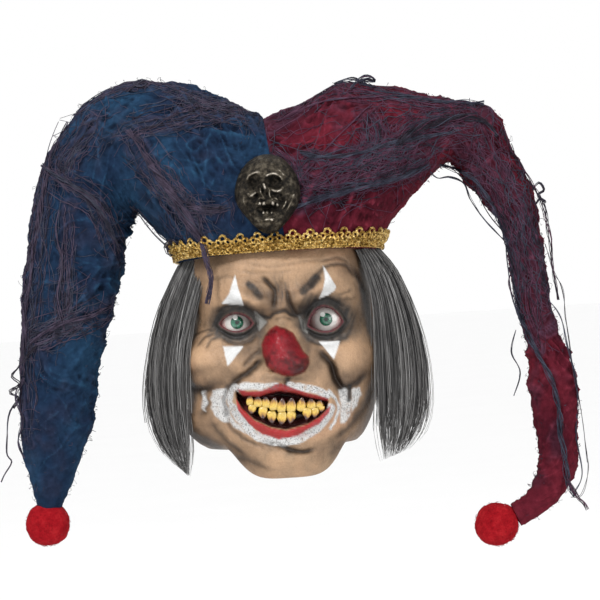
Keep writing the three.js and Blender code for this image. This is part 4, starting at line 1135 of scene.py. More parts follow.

# Middle, half sizes, tilt, strength: the mask's own airbrushed shading together with painted
# shade, such as the hair's shadow at the sides of the face.
SHADES = [
    ((196, 300), (9, 26), 0, 0.6), ((190, 400), (8, 28), 0, 0.75), ((368, 300), (12, 40), 0, 0.7),
    ((205, 388), (14, 6), 15, 0.55), ((340, 383), (12, 10), -30, 0.7),
    ((372, 400), (9, 40), 0, 0.7), ((236, 457), (26, 9), -22, 0.65), ((340, 446), (24, 9), 24, 0.6),
    ((284, 446), (26, 5), 0, 0.35), ((272, 300), (14, 16), 0, 0.4), ((254, 292), (10, 12), 40, 0.4),
    ((308, 285), (9, 13), -32, 0.45), ((262, 336), (9, 12), 30, 0.55), ((305, 340), (9, 12), -30, 0.5),
    ((222, 385), (14, 7), -40, 0.45), ((285, 382), (14, 5), 0, 0.3), ((212, 440), (18, 8), -40, 0.5),
    ((350, 272), (14, 6), -20, 0.35), ((318, 362), (8, 12), -30, 0.5), ((246, 350), (10, 8), 40, 0.45),
    ((360, 262), (14, 12), -30, 0.5), ((214, 264), (16, 9), 0, 0.35), ((232, 376), (13, 6), -40, 0.5),
    ((196, 340), (6, 10), 0, 0.4), ((197, 372), (14, 5), 20, 0.5), ((358, 374), (13, 6), 20, 0.5),
    ((262, 352), (5, 12), 20, 0.5), ((309, 350), (4, 10), -20, 0.5), ((284, 378), (16, 2.5), 0, 0.5),
    ((272, 296), (5, 12), 0, 0.4), ((292, 304), (5, 12), -20, 0.4), ((281, 311), (14, 4), 0, 0.45),
    ((200, 430), (12, 20), -30, 0.45), ((364, 424), (10, 20), 25, 0.5),
]
# The same columns, for painted highlights where light falls on the rubber.
PAINTED_HIGHLIGHTS = [
    ((204, 355), (10, 12), 0, 0.7), ((205, 352), (4, 5), 0, 0.6), ((283, 266), (44, 9), 0, 0.3),
    ((350, 352), (10, 15), 0, 0.55), ((285, 464), (20, 7), 0, 0.35), ((244, 300), (14, 5), -20, 0.6),
    ((254, 304), (4, 2.5), -20, 0.5), ((320, 288), (12, 5), 28, 0.35),
    ((283, 317), (6, 2.6), 0, 0.9), ((222, 292), (9, 12), 0, 0.3), ((300, 300), (6, 6), 0, 0.35),
    ((268, 286), (5, 5), 0, 0.3),
]
EYE_SHADOW = [((236, 322), (29, 19), 5), ((326, 319), (32, 24), -8)]
TRIANGLES = [
    [(235, 275), (237.5, 286), (243.5, 305), (232, 304.5), (222, 303.5), (229, 294)],
    [(323.5, 266), (330, 276), (336, 287), (334, 291), (328, 295), (319, 298.5), (323, 290), (325, 280)],
    [(223.5, 346.5), (243.5, 346), (236, 356), (228, 366)],
    [(319, 341.5), (339.5, 341), (337, 350), (334, 359.5), (327, 351)],
]
WHITE_STROKES = [
    ([(238, 388), (246, 386), (262, 386.5), (276, 386)], 3.4), ([(283, 386), (286, 391)], 1.0),
    ([(290, 386), (306, 388), (318, 391), (327, 395)], 3.8),
    ([(236, 386), (231, 393), (230, 401), (234, 411)], 2.6),
    ([(233, 408), (243, 423), (256, 435), (270, 440.5), (284, 442), (298, 439), (314, 430),
      (326, 418), (331, 408)], 4.4),
    ([(329, 391), (337, 401), (338, 412), (331, 428)], 1.5),
]
WHITE_PATCHES = [
    [(213, 390), (221, 389), (228, 388), (228, 396), (227, 405), (230, 414), (238, 425), (247, 433),
     (241, 433), (231, 424), (222, 421), (215, 412), (212, 400)],
    [(204, 391), (208, 391), (210, 400), (210, 412), (206, 408)],
    [(338, 389), (346, 388), (348.5, 397), (352, 400), (352, 408), (348, 420), (341, 424), (340, 412),
     (341, 400)],
    [(352, 390), (359, 387), (361, 395), (357, 404), (352.5, 413), (351, 402)],
]
UPPER_LIP = [(237, 388.5), (248, 391.5), (259, 391), (268, 388), (275, 384.5), (280, 383.5),
             (288, 386), (296, 389), (308, 393), (328, 398), (328, 402), (308, 398.5), (294, 394.5),
             (279, 392), (270, 394.5), (259, 397.5), (243, 397)]
LOWER_LIP = [(236, 398), (242, 408), (254, 420), (271, 428), (286, 430.5), (307, 424.5), (319, 417),
             (328, 408), (331, 405), (329, 413), (319, 424), (297, 436), (279, 439.5), (262, 434),
             (249, 424), (238, 410)]
BROW_MARKS = [([(249, 284), (254, 290), (260, 297)], 3.4), ([(316, 278), (310, 285), (304, 291)], 4.4)]


def hatch(seen, slope, size, seed=51):
    """Short brush strokes that lean by a slope."""
    spot = np.stack([(seen[:, 0] + slope * seen[:, 1]) / size, seen[:, 1] / 11, 0 * seen[:, 0]], 1)
    return smooth(ripple(spot, 1.0, seed), -0.25, 0.35)


def paint_face(seen, base, facing):
    front = smooth(facing, 0.02, 0.25)
    rough = np.stack([ripple(base, 5, 61), ripple(base, 5, 62)], 1)
    brushed = seen + rough
    paint = np.tile(SKIN, (len(seen), 1))
    paint = blend(paint, PINK_SKIN, smooth(ripple(base, 30, 63), 0.0, 0.9) * 0.4)
    paint = blend(paint, OLIVE, smooth(ripple(base, 22, 64) + 0.4 * ripple(base, 8, 65), 0.1, 1.1) * 0.5)
    paint *= (1 + 0.07 * ripple(base, 3.2, 66) + 0.06 * ripple(base, 11, 67))[:, None]
    paint = blend(paint, OLIVE * 0.55, smooth(crease(base, 13, 68, 4), 0.3, 1) * 0.22)
    # Painted shade in the folds of the loose rubber behind the head.
    nape = nape_folds(base) * smooth(-facing, -0.1, 0.3)
    paint = blend(paint, UMBER * 1.6, np.clip(nape, 0, 1) * 0.35)
    # Darkened by the airbrushed shading and painted shade listed above.
    for middle, half, tilt, share in SHADES:
        shade = np.exp(-bump_at(seen + rough * 2, middle, half, tilt) * 0.8) * share
        shade = (1 - (1 - shade) ** 2) * (0.85 + 0.15 * ripple(base, 4, 69))
        paint = blend(paint, UMBER * 1.3, shade * front)
    # Painted highlights: lighter skin where light falls.
    for middle, half, tilt, share in PAINTED_HIGHLIGHTS:
        paint = blend(paint, SKIN * 1.42, np.exp(-bump_at(seen, middle, half, tilt)) * share * front)
    # The grooves are painted dark: the mask's own airbrush together with painted shade.
    for line, half, _, dark in GROOVES:
        ink = 1 - (1 - groove_at(brushed, line, half * 1.1) * dark) ** 1.7
        paint = blend(paint, UMBER * 0.7, ink * front)
    for middle, half, tilt in EYE_SHADOW:
        near = bump_at(seen + rough * 2.2, middle, half, tilt)
        veil = (1 - (1 - smooth(1.55 - near, 0, 1.1)) ** 1.6) * (0.8 + 0.17 * hatch(seen, 0.4, 1.7))
        paint = blend(paint, BLACK_PAINT_AND_SHADE, np.clip(veil, 0, 1) * front)
        ash = veil * smooth(seen[:, 1], 326, 340) * (0.5 + 0.5 * ripple(base, 3, 76))
        paint = blend(paint, np.array([0.12, 0.12, 0.12]), np.clip(ash * 0.5, 0, 1) * front)
    for line, half in BROW_MARKS:
        gap, _ = from_line(brushed, np.array(line, float))
        mark = smooth(half - gap, -1.8, 1.8) * (0.85 + 0.15 * ripple(base, 2.4, 52))
        paint = blend(paint, BLACK_PAINT_AND_SHADE * 1.4, mark * front)
    between = np.exp(-bump_at(seen, (281, 290), (8, 15), 0)) * hatch(seen, 0.05, 1.1, 53)
    paint = blend(paint, BLACK_PAINT_AND_SHADE * 3, between * 0.7 * front)
    spare = smooth(ripple(base, 1.7, 70) + 0.5 * ripple(base, 5, 71), -1.05, -0.1)
    white = np.zeros(len(seen))
    for line, half in WHITE_STROKES:
        gap, _ = from_line(brushed, smooth_line(line, 5 * len(line)))
        white = np.maximum(white, smooth(half - gap, -0.8, 1.0))
    for outline in WHITE_PATCHES:
        white = np.maximum(white, smooth(inside_by(seen + rough * 1.6, outline), -1.0, 1.4) * 0.9)
    paint = blend(paint, WHITE * 0.9, white * (0.45 + 0.55 * spare) * front)
    for outline in TRIANGLES:
        coat = smooth(inside_by(seen + rough * 0.25, outline), -0.6, 0.5)
        paint = blend(paint, WHITE, coat * front)
    # Dark lines in the folds at the mouth's corners: painted shade.
    for line, dark in (([(350, 386), (349, 400)], 0.85), ([(228, 386), (224, 398), (227, 414)], 0.5)):
        gap, _ = from_line(brushed, np.array(line, float))
        paint = blend(paint, BLACK_PAINT_AND_SHADE, smooth(2.2 - gap, -0.8, 1.2) * dark * front)
    cracked = 0.95 + 0.05 * ripple(base, 2.5, 72)
    for outline, red in ((UPPER_LIP, LIP_RED * 0.75), (LOWER_LIP, LIP_RED)):
        coat = smooth(inside_by(seen + rough * 0.4, outline), -0.8, 0.8) * cracked
        paint = blend(paint, red, np.clip(coat, 0, 1) * front)
    # A painted highlight along the lower lip.
    lip_highlight = np.exp(-bump_at(seen, (288, 435), (20, 2.0), 0)) * 0.35
    paint = blend(paint, LIP_RED * 1.3 + 0.02, lip_highlight * front)
    nose = smooth(inside_by(seen + rough * 0.5, NOSE), -0.9, 0.9)
    # Blotches, darker towards the bottom of the nose.
    blotch = ripple(base, 8, 73) + 0.8 * ripple(base, 2.6, 74) + 0.4 * smooth(seen[:, 1], 345, 366)
    red = np.tile(NOSE_RED * 0.85, (len(seen), 1))
    red = blend(red, NOSE_RED * 0.18, smooth(blotch, -0.4, 1.0) * 0.9)
    # A painted highlight on the nose's upper left, painted shade in both nostrils, and a darker patch on
    # its right.
    red = blend(red, NOSE_RED * 1.35, np.exp(-bump_at(seen, (275, 342), (6, 8), 0)) * 0.6)
    red = blend(red, NOSE_RED * 0.15, np.exp(-bump_at(seen, (300, 368), (6.5, 2.4), 20)) * 0.97)
    red = blend(red, NOSE_RED * 0.3, np.exp(-bump_at(seen, (271, 371), (5, 2.2), -20)) * 0.7)
    red = blend(red, NOSE_RED * 0.3, np.exp(-bump_at(seen, (291, 346), (7, 6), 0)) * 0.5)
    paint = paint * (1 - (nose * front)[:, None]) + red * (nose * front)[:, None]
    lips = inside_by(seen, MOUTH)
    room = smooth(lips, -0.6, 1.0) * front
    rows = np.minimum(from_line(seen, UPPER_TEETH)[0] + 1.0, from_line(seen, LOWER_TEETH)[0])
    maw = blend(np.tile(MAW, (len(seen), 1)), GUM, smooth(11 - rows, 0, 5) * smooth(rows, 3.4, 5.6))
    maw = blend(maw, GUM * 1.5, np.exp(-(((lips - 1.4) / 1.2) ** 2)) * 0.7)
    paint = paint * (1 - room[:, None]) + maw * room[:, None]
    for lids in LIDS.values():
        gap = inside_by(seen, lids)
        paint = blend(paint, BLACK_PAINT_AND_SHADE, np.exp(-(((gap + 4.8) / 3.0) ** 2)) * 0.9 * front)
        rim = np.exp(-(((gap + 0.5) / 0.8) ** 2)) * (0.75 + 0.2 * ripple(base, 3, 77))
        paint = blend(paint, LID_PINK, np.clip(rim, 0, 1) * front)
        # Painted shade on the rubber inside the lids, behind the eye.
        paint = blend(paint, BLACK_PAINT_AND_SHADE * 0.6, smooth(gap, 0.2, 1.6) * front)
    # Painted shade round each sight slit, and the slit painted pale grey in place of the bright light
    # seen through it.
    for slit in SLITS.values():
        hole = smooth(inside_by(seen, slit), -1.6, 1.0)
        edge = smooth(inside_by(seen, slit), -3.6, -0.4) * (1 - hole)
        paint = blend(paint, BLACK_PAINT_AND_SHADE * 2, edge * 0.6 * front)
        paint = blend(paint, np.array([0.24, 0.235, 0.22]), hole * front)
    gloss = 0.52 - 0.2 * nose - 0.18 * room - 0.1 * smooth(inside_by(seen, LOWER_LIP), -0.5, 1)
    return paint, gloss, white * front * (1 - nose) * (1 - room)


# %% Cast the rubber head
FACE_ROUND, FACE_DOWN, FACE_BACK_UP = 312, 216, 36
rubber, across, down = flat_grid("mask_rubber", FACE_ROUND, FACE_DOWN + FACE_BACK_UP)
share = across - 0.5
turn = 2 * pi * share - 0.58 * np.sin(2 * pi * share)
rim_share = FACE_DOWN / (FACE_DOWN + FACE_BACK_UP)
outside = down <= rim_share + 1e-9
head_place = 14 * np.where(outside, (down / rim_share) ** 0.8, (1 - down) / (1 - rim_share))
base = head_point(head_place, turn)
facing = np.cos(turn)
seen = to_picture(base)
relief = face_relief(seen, base, facing)
inner = head_point(np.minimum(head_place, 13.98), turn, 4.5)
deep_eyes = sum(31 * smooth(1.7 - bump_at(seen, middle, (27, 20), 0), 0, 0.9)
                for middle in ((236, 322), (326, 319)))
deep_mouth = 16 * smooth(1.5 - bump_at(seen, (283, 408), (52, 26), 0), 0, 0.7)
folds = np.maximum(deep_eyes, deep_mouth) * smooth(facing, 0.1, 0.4)
inner[:, 1] += folds + 6 * smooth(facing, 0.2, 0.6) * smooth(head_place, 4.5, 6)
towards = unit(EYE - base)
skin = base + towards * relief[:, None]
rolled = smooth(down, rim_share - 0.006, rim_share)
skin[:, 2] += 1.5 * rolled
for middle, half, reach in SIDEWAYS:
    skin[:, 0] += reach * np.exp(-bump_at(seen, middle, half, 0)) * smooth(facing, 0, 0.3)
move_to(rubber, np.where(outside[:, None], skin, inner))
paint, gloss, white = paint_face(seen, base, facing)
CREAM = np.array([0.5, 0.42, 0.31])
paint = np.where(outside[:, None], paint, CREAM * (1 + 0.08 * ripple(base, 12, 75))[:, None])
tint(rubber, "paint", paint)
weigh(rubber, "gloss", gloss)
weigh(rubber, "white", np.where(outside, white, 0))
sew(rubber, 0.004)


# %% [markdown]
# The paint is stored at each vertex, so it keeps its place from every side. The shader only
# adds what is finer than the mesh: pores, flecks in the paint and small changes of gloss.

# %% Rubber finish
def rubber_finish():
    finish = Finish("painted latex", Specular_IOR_Level=0.3)
    paint = finish.painted("paint")
    fleck = finish.noise(520, 4, 0.65).between(0.25, 0.75)
    cloud = finish.noise(90, 4).between(0.25, 0.75)
    tone = finish.ramp(fleck * 0.5 + cloud * 0.5, (0.1, (0.8, 0.79, 0.78)), (0.9, (1.14, 1.15, 1.16)))
    colour = finish.mix(1.0, paint, tone, "MULTIPLY")
    stipple = finish.noise(780, 2, 0.6).between(0.54, 0.6) * finish.painted("white", "Fac")
    colour = finish.mix(stipple * 0.72, colour, (0.05, 0.047, 0.045, 1))
    pores = finish.cells(650).between(0.0, 0.6) * 0.5 + finish.noise(300, 5, 0.6)
    rough = finish.painted("gloss", "Fac") + finish.noise(140, 3) * 0.16 - 0.08
    return finish.done(colour, rough, pores, 0.0006)


latex = rubber_finish()
dress(rubber, "mask_rubber", latex, "rubber_skin", "mask_shell")

# %% [markdown]
# ## Eyes, teeth and ears
# The eyes are vacuum-formed domes, painted on their face and lacquered. The teeth are cast in
# resin and stuck into the gums one by one, so no two stand alike. The ears are part of the
# rubber casting, but they are sculpted apart here, because a head grid can't fold back on
# itself so far.


# %% Eyes
def round_form(name, columns, rows, shape):
    """A grid rolled round a middle: shape(turn, share) gives its points."""
    mesh, across, down = flat_grid(name, columns, rows)
    points = shape(2 * pi * across, down)
    move_to(mesh, points)
    return mesh, points


EYE_DEPTH = -73.0


def eye_dome(name, middle, glint, seed):
    radius, rim, bulge = 21.0, 17.0, 1.1
    centre = from_picture(*middle, EYE_DEPTH)

    def shape(turn, share):
        reach = rim * np.minimum(share * 1.12, 1.0)
        tuck = 3.0 * smooth(share, 0.9, 1.0)
        back = radius - np.sqrt(radius**2 - reach**2)
        back = back - bulge * smooth(7.5 - reach, 0, 5) + tuck
        side = reach * (1 - 0.9 * smooth(share, 0.93, 1.0))
        return centre + np.stack([side * np.cos(turn), back, side * np.sin(turn)], 1)

    mesh, points = round_form(name, 80, 44, shape)
    seen = to_picture(points)
    off = (seen - middle) * 0.965
    reach = np.hypot(*off.T)
    spoke = np.arctan2(off[:, 1], off[:, 0])
    ring = np.stack([np.cos(spoke) * 9, np.sin(spoke) * 9, reach * 0.25], 1)
    white = np.tile((0.42, 0.4, 0.38), (len(seen), 1))
    white = blend(white, np.array([0.3, 0.08, 0.08]), smooth(reach, 9, 16) * 0.75)
    veins = crease(points, 5, seed, 8) * smooth(reach, 8, 15)
    white = blend(white, np.array([0.3, 0.03, 0.03]), np.clip(veins, 0, 1) * 0.7)
    fibres = smooth(ripple(ring, 1.0, seed + 1) + 0.5 * ripple(ring * 2, 1.0, seed + 2), -0.6, 0.8)
    iris = blend(np.tile((0.003, 0.036, 0.021), (len(seen), 1)), np.array([0.018, 0.14, 0.08]), fibres)
    iris = blend(iris, np.array([0.004, 0.03, 0.02]), smooth(reach, 5.0, 6.4) * 0.8)
    paint = blend(white, iris, smooth(6.6 - reach, 0, 0.7))
    paint = blend(paint, np.array([0.004, 0.005, 0.004]), smooth(2.3 - reach, 0, 0.8))
    # A painted highlight: the glint above the pupil.
    painted_glint = bump_at(seen, glint, (2.6, 2.4), 0)
    paint = blend(paint, np.array([0.75, 0.78, 0.75]), smooth(1.2 - painted_glint, 0, 0.6))
    tint(mesh, "paint", paint)
    sew(mesh, 0.01)
    return mesh


def lacquer():
    finish = Finish("lacquered eye", Coat_Weight=0.8, Coat_Roughness=0.04, IOR=1.5)
    paint = finish.painted("paint")
    cloud = finish.noise(300, 4).between(0.2, 0.8)
    tone = finish.ramp(cloud, (0, (0.9, 0.9, 0.88)), (1, (1.06, 1.06, 1.06)))
    rough = finish.noise(200) * 0.1 + 0.12
    return finish.done(finish.mix(1.0, paint, tone, "MULTIPLY"), rough)


glaze = lacquer()
for eye, middle, glint, seed in (
    ("left_eye", (237, 322.6), (235.2, 317.6), 81), ("right_eye", (326, 319.4), (322.6, 314.4), 84)
):
    dress(eye_dome(eye + "_dome", middle, glint, seed), eye + "_dome", glaze, "eye", eye)

# %% Teeth
front_face = facing > 0.2
front_seen, front_depth = seen[front_face], base[front_face][:, 1]


def face_depth(place):
    """How far forward the bare head reaches at a picture place."""
    return front_depth[np.argmin(((front_seen - place) ** 2).sum(1))]


def tooth_row(name, centres, upper, sizes):
    """Rounded pegs, each with a narrow root, joined in one mesh with a root attribute."""
    bm = bmesh.new()
    root_layer = bm.verts.layers.float.new("root")
    for k, (place, (wide, high)) in enumerate(zip(centres, sizes)):
        made = bmesh.ops.create_uvsphere(bm, u_segments=20, v_segments=14, radius=1.0)["verts"]
        local = np.array([v.co for v in made])
        local = np.sign(local) * np.abs(local) ** 0.5
        rise = local[:, 2] if upper else -local[:, 2]
        narrow = 1 - 0.62 * smooth(rise, -0.1, 1.0) - 0.06 * smooth(-rise, 0.7, 1)
        twist = 0.16 * ripple(np.array([[k * 1.7, upper, 0.0]]), 1.0, 91)[0]
        lumpy = 1 + 0.09 * ripple(local * 2 + k * 7.0, 1.0, 92)
        side = local[:, 0] * wide / 2 * narrow * lumpy
        tall = local[:, 2] * high / 2 * lumpy
        side, tall = side * cos(twist) - tall * sin(twist), side * sin(twist) + tall * cos(twist)
        depth = face_depth(place) - 2.5 + 0.9 * ripple(np.array([[k * 2.3, 3, 1.0]]), 1.0, 93)[0]
        centre = from_picture(*place, depth)
        points = centre + np.outer(side, RIGHT) + np.outer(tall, UP)
        points[:, 1] += local[:, 1] * 3.2 * lumpy
        for vert, point, height in zip(made, points, rise):
            vert.co = Vector(point * MM)
            vert[root_layer] = height
    mesh = bpy.data.meshes.new(name)
    bm.to_mesh(mesh)
    bm.free()
    return mesh


def tooth_finish():
    finish = Finish("stained teeth", Coat_Weight=0.5, Coat_Roughness=0.15)
    root = finish.painted("root", "Fac")
    streak = finish.noise(260, 4, stretch=(1, 1, 0.3)).between(0.3, 0.7)
    edge = root + streak * 0.7 - 0.35
    enamel = finish.ramp(edge.between(-0.9, 0.95), (0, (0.42, 0.3, 0.08)), (0.36, (0.5, 0.34, 0.06)),
                         (0.56, (0.32, 0.17, 0.03)), (0.76, (0.06, 0.022, 0.016)),
                         (1.0, (0.02, 0.008, 0.012)))
    fleck = finish.noise(700, 3).between(0.3, 0.7)
    tone = finish.ramp(fleck, (0, (0.8, 0.78, 0.7)), (1, (1.15, 1.15, 1.12)))
    rough = finish.noise(300) * 0.25 + 0.18
    return finish.done(finish.mix(1.0, enamel, tone, "MULTIPLY"), rough, finish.noise(420, 4), 0.0004)


enamel = tooth_finish()
upper_sizes = [(7.6, 10.5), (8.2, 12), (8, 12), (8.4, 13.5), (9, 14.5), (9.6, 14.5), (9, 13.5),
               (9, 11.5), (7.6, 9)]
lower_sizes = [(8, 9.5), (8.8, 12), (8.8, 12.5), (9.2, 13), (8.8, 12.5), (8.6, 12), (7.6, 10), (6, 7)]
for teeth, centres, upper, sizes in (
    ("upper_teeth", UPPER_TEETH, True, upper_sizes), ("lower_teeth", LOWER_TEETH, False, lower_sizes)
):
    dress(tooth_row(teeth + "_set", centres, upper, sizes), teeth + "_set", enamel, "teeth", teeth)

# %% Ears
EAR_HIGH, EAR_WIDE, EAR_THICK, EAR_FLARE = 62.0, 46.0, 14.5, radians(38)


def ear_shell(name, side):
    normal = np.array([side * cos(EAR_FLARE), -sin(EAR_FLARE), 0])
    backward = np.array([side * sin(EAR_FLARE), cos(EAR_FLARE), 0])
    centre = np.array([side * (HEAD_HALF + 0.14 * EAR_WIDE), 0.35 * EAR_WIDE, -0.425 * FACE_DROP])

    def shape(turn, share):
        reach = np.sin(np.minimum(share, 1) * pi)
        out = np.cos(np.minimum(share, 1) * pi)
        up = np.cos(turn) * reach
        back = np.sin(turn) * reach
        wide = EAR_WIDE / 2 * (1 + 0.16 * up - 0.1 * smooth(-up, 0.3, 1))
        flat = np.stack([back, up], 1)
        gap = np.hypot(back + 0.08, up * 0.92)
        rim = 3.6 * np.exp(-(((gap - 0.86) / 0.13) ** 2)) * smooth(0.55 + back, 0.1, 0.6)
        bowl = -6.5 * np.exp(-bump_at(flat, (-0.22, -0.02), (0.34, 0.42), 0))
        fold = 2.8 * np.exp(-(((np.hypot(back + 0.2, up * 0.8 - 0.05) - 0.52) / 0.1) ** 2))
        fold *= smooth(back, -0.35, 0.1)
        tab = 3.0 * np.exp(-bump_at(flat, (-0.62, -0.05), (0.16, 0.2), 0))
        lobe = 2.0 * np.exp(-bump_at(flat, (-0.1, -0.82), (0.3, 0.16), 0))
        relief = (rim + bowl + fold + tab + lobe) * smooth(out, 0, 0.35)
        thick = EAR_THICK / 2 * np.sign(out) * np.abs(out) ** 0.8 * 0.7 + relief
        return (centre + np.outer(back * wide, backward) + np.outer(up * EAR_HIGH / 2, (0, 0, 1))
                + np.outer(thick, normal))

    mesh, points = round_form(name, 72, 60, shape)
    off = points - centre
    out = off @ normal
    paint = np.tile(SKIN * 0.92, (len(points), 1))
    paint = blend(paint, PINK_SKIN, smooth(ripple(points, 12, 95), -0.2, 0.8) * 0.5)
    # Painted shade on the side of the ear that faces the head.
    paint = blend(paint, UMBER, smooth(1.5 - out, 0, 5) * 0.75)
    tint(mesh, "paint", paint)
    weigh(mesh, "gloss", np.full(len(points), 0.5))
    sew(mesh, 0.02)
    return mesh


for side, which in ((-1, "left"), (1, "right")):
    dress(ear_shell("ear_" + which, side), "ear_" + which, latex, "rubber_skin", "mask_shell")

# %% [markdown]
# ## Hair
# A curtain of coarse grey synthetic hair is glued under the brim on each side and hangs in
# front of the ear. Particle hair doesn't export as mesh, so each strand is a thin tapered
# curve. Some fifty thick dark strands underneath keep the curtain from looking empty.

# %% Strands of hair
HAIR_EDGES = {
    "left": ([(209, 256), (204, 280), (195, 315), (188, 350), (187, 385), (188, 420), (190, 450),
              (189, 473)],
             [(187, 252), (172, 280), (159, 312), (151, 350), (148, 388), (153, 424), (166, 452),
              (183, 470)]),
    "right": ([(356, 250), (365, 272), (372, 300), (375, 332), (377, 366), (379, 402), (380, 430),
               (384, 456)],
              [(376, 246), (396, 270), (411, 305), (421, 342), (425, 378), (424, 408), (417, 432),
               (405, 449)]),
}


HAIR_ROWS = 60


def hair_side(which, count, seed, thick, fullness, tones, longest=1.0):
    """Strands between the two edges of a curtain, some of them drawn into locks."""
    pick = np.random.default_rng(seed)
    inner, outer = (smooth_line(edge, HAIR_ROWS) for edge in HAIR_EDGES[which])
    strands = []
    for _ in range(count):
        side = pick.random() ** 0.9
        lock = np.round(side * 8) / 8
        clumped = side + (lock - side) * 0.6
        last = longest * (pick.uniform(0.66, 1.0) if pick.random() < 0.8 else 1.03)
        start = 0.0 if pick.random() < 0.8 else pick.uniform(0, 0.2)
        share = np.linspace(start, last, 12)
        at = share * (HAIR_ROWS - 1)
        low = np.floor(at).astype(int).clip(0, HAIR_ROWS - 2)
        part = (at - low)[:, None]
        near = inner[low] * (1 - part) + inner[low + 1] * part
        far = outer[low] * (1 - part) + outer[low + 1] * part
        spread = side + (clumped - side) * share**2
        stray = pick.normal(0, 0.06) if pick.random() < 0.8 else pick.normal(0, 0.24)
        spread = spread + stray * share
        wave = 1.1 * np.sin(share * pick.uniform(5, 11) + pick.uniform(0, 6))
        spot = near + (far - near) * spread[:, None]
        spot[:, 0] += wave * share
        depth = -57 + 36 * spread + pick.uniform(-6, 6) * np.sin(share * pi) + pick.uniform(-3, 3)
        points = np.array([from_picture(*s, d) for s, d in zip(spot, depth + fullness)])
        taper = thick * (1 - 0.8 * share**3)
        tone = int(pick.choice(4, p=tones))
        strands.append((points, taper * pick.uniform(0.6, 1.25), tone))
    return strands


def hair_finish(name, dark, light):
    finish = Finish(name, Specular_IOR_Level=0.35)
    streak = finish.noise(55, 3, stretch=(6, 3, 0.35)).between(0.3, 0.7)
    colour = finish.ramp(streak, (0, dark), (1.0, light))
    rough = finish.noise(400) * 0.2 + 0.36
    return finish.done(colour, rough)


hair_tones = [
    hair_finish("hair black", (0.008, 0.008, 0.008), (0.022, 0.021, 0.022)),
    hair_finish("hair dark grey", (0.03, 0.029, 0.029), (0.066, 0.064, 0.063)),
    hair_finish("hair grey", (0.07, 0.068, 0.067), (0.14, 0.136, 0.133)),
    hair_finish("hair silver", (0.12, 0.118, 0.116), (0.26, 0.256, 0.252)),
]
for which, seed in (("left", 11), ("right", 12)):
    core = hair_side(which, 54, seed, 1.5, 6.0, (0.4, 0.6, 0, 0), 0.66)
    cover_hair = hair_side(which, 680, seed + 10, 0.36, 0.0, (0.22, 0.26, 0.32, 0.2))
    hair_mesh = cords("hair_" + which, core + cover_hair, hair_tones)
    dress(hair_mesh, "hair_" + which + "_strands", None, "hair", "hair_" + which)

# %% [markdown]
# ## Gold braid
# The brim is covered by metallic trim: a woven band with a row of small trefoil loops along its
# top. Each cord of the weave is a curve that runs round the head, found by looking outwards
# from the head's middle line until the cloth is met.

# %% Way round the brim
BRIM_STEPS = 720


def brim_ring(height):
    """Distance from the middle to the cloth for each direction round the brim."""
    found = np.zeros(BRIM_STEPS)
    for k, turn in enumerate(np.linspace(0, 2 * pi, BRIM_STEPS, endpoint=False)):
        out = Vector((sin(turn), -cos(turn), cos(turn) * np.tan(BRIM_PITCH)))
        start = Vector((0, 0, -BRIM_DROP + height))
        hits = [tree.ray_cast(start + out * 70, out) for tree in cloths]
        reach = [(hit[0] - start).length for hit in hits if hit[0] is not None]
        found[k] = min(reach) if reach else np.nan
    known = ~np.isnan(found)
    steps = np.arange(BRIM_STEPS)
    found = np.interp(steps, steps[known], found[known], period=BRIM_STEPS)
    wrapped = np.r_[found[-12:], found, found[:12]]
    return np.convolve(wrapped, np.ones(25) / 25, "valid")


BRIM_HEIGHTS = (5.0, 11.0, 17.0)
BRIM_RINGS = [brim_ring(height) for height in BRIM_HEIGHTS]
BRIM = BRIM_RINGS[0]
print("brim from", round(BRIM.min()), "to", round(BRIM.max()), "mm from the middle")


def on_brim(travel, height, off):
    """Points round the brim; travel is in mm round it, height above its edge."""
    around = travel / BRIM_LENGTH * 2 * pi
    spot = around / (2 * pi) * BRIM_STEPS
    low, mid, top = (np.interp(spot, np.arange(BRIM_STEPS), ring, period=BRIM_STEPS)
                     for ring in BRIM_RINGS)
    share = np.clip((height - BRIM_HEIGHTS[0]) / 6.0, 0, 2)
    reach = np.where(share < 1, low + (mid - low) * share, mid + (top - mid) * (share - 1)) + off
    side, ahead = np.sin(around), -np.cos(around)
    rise = -BRIM_DROP + height - ahead * np.tan(BRIM_PITCH) * reach
    return np.stack([side * reach, ahead * reach, rise], 1)


BRIM_LENGTH = 2 * pi * BRIM.mean()
PITCH = BRIM_LENGTH / round(BRIM_LENGTH / 16)


METAL_ENDS = 760


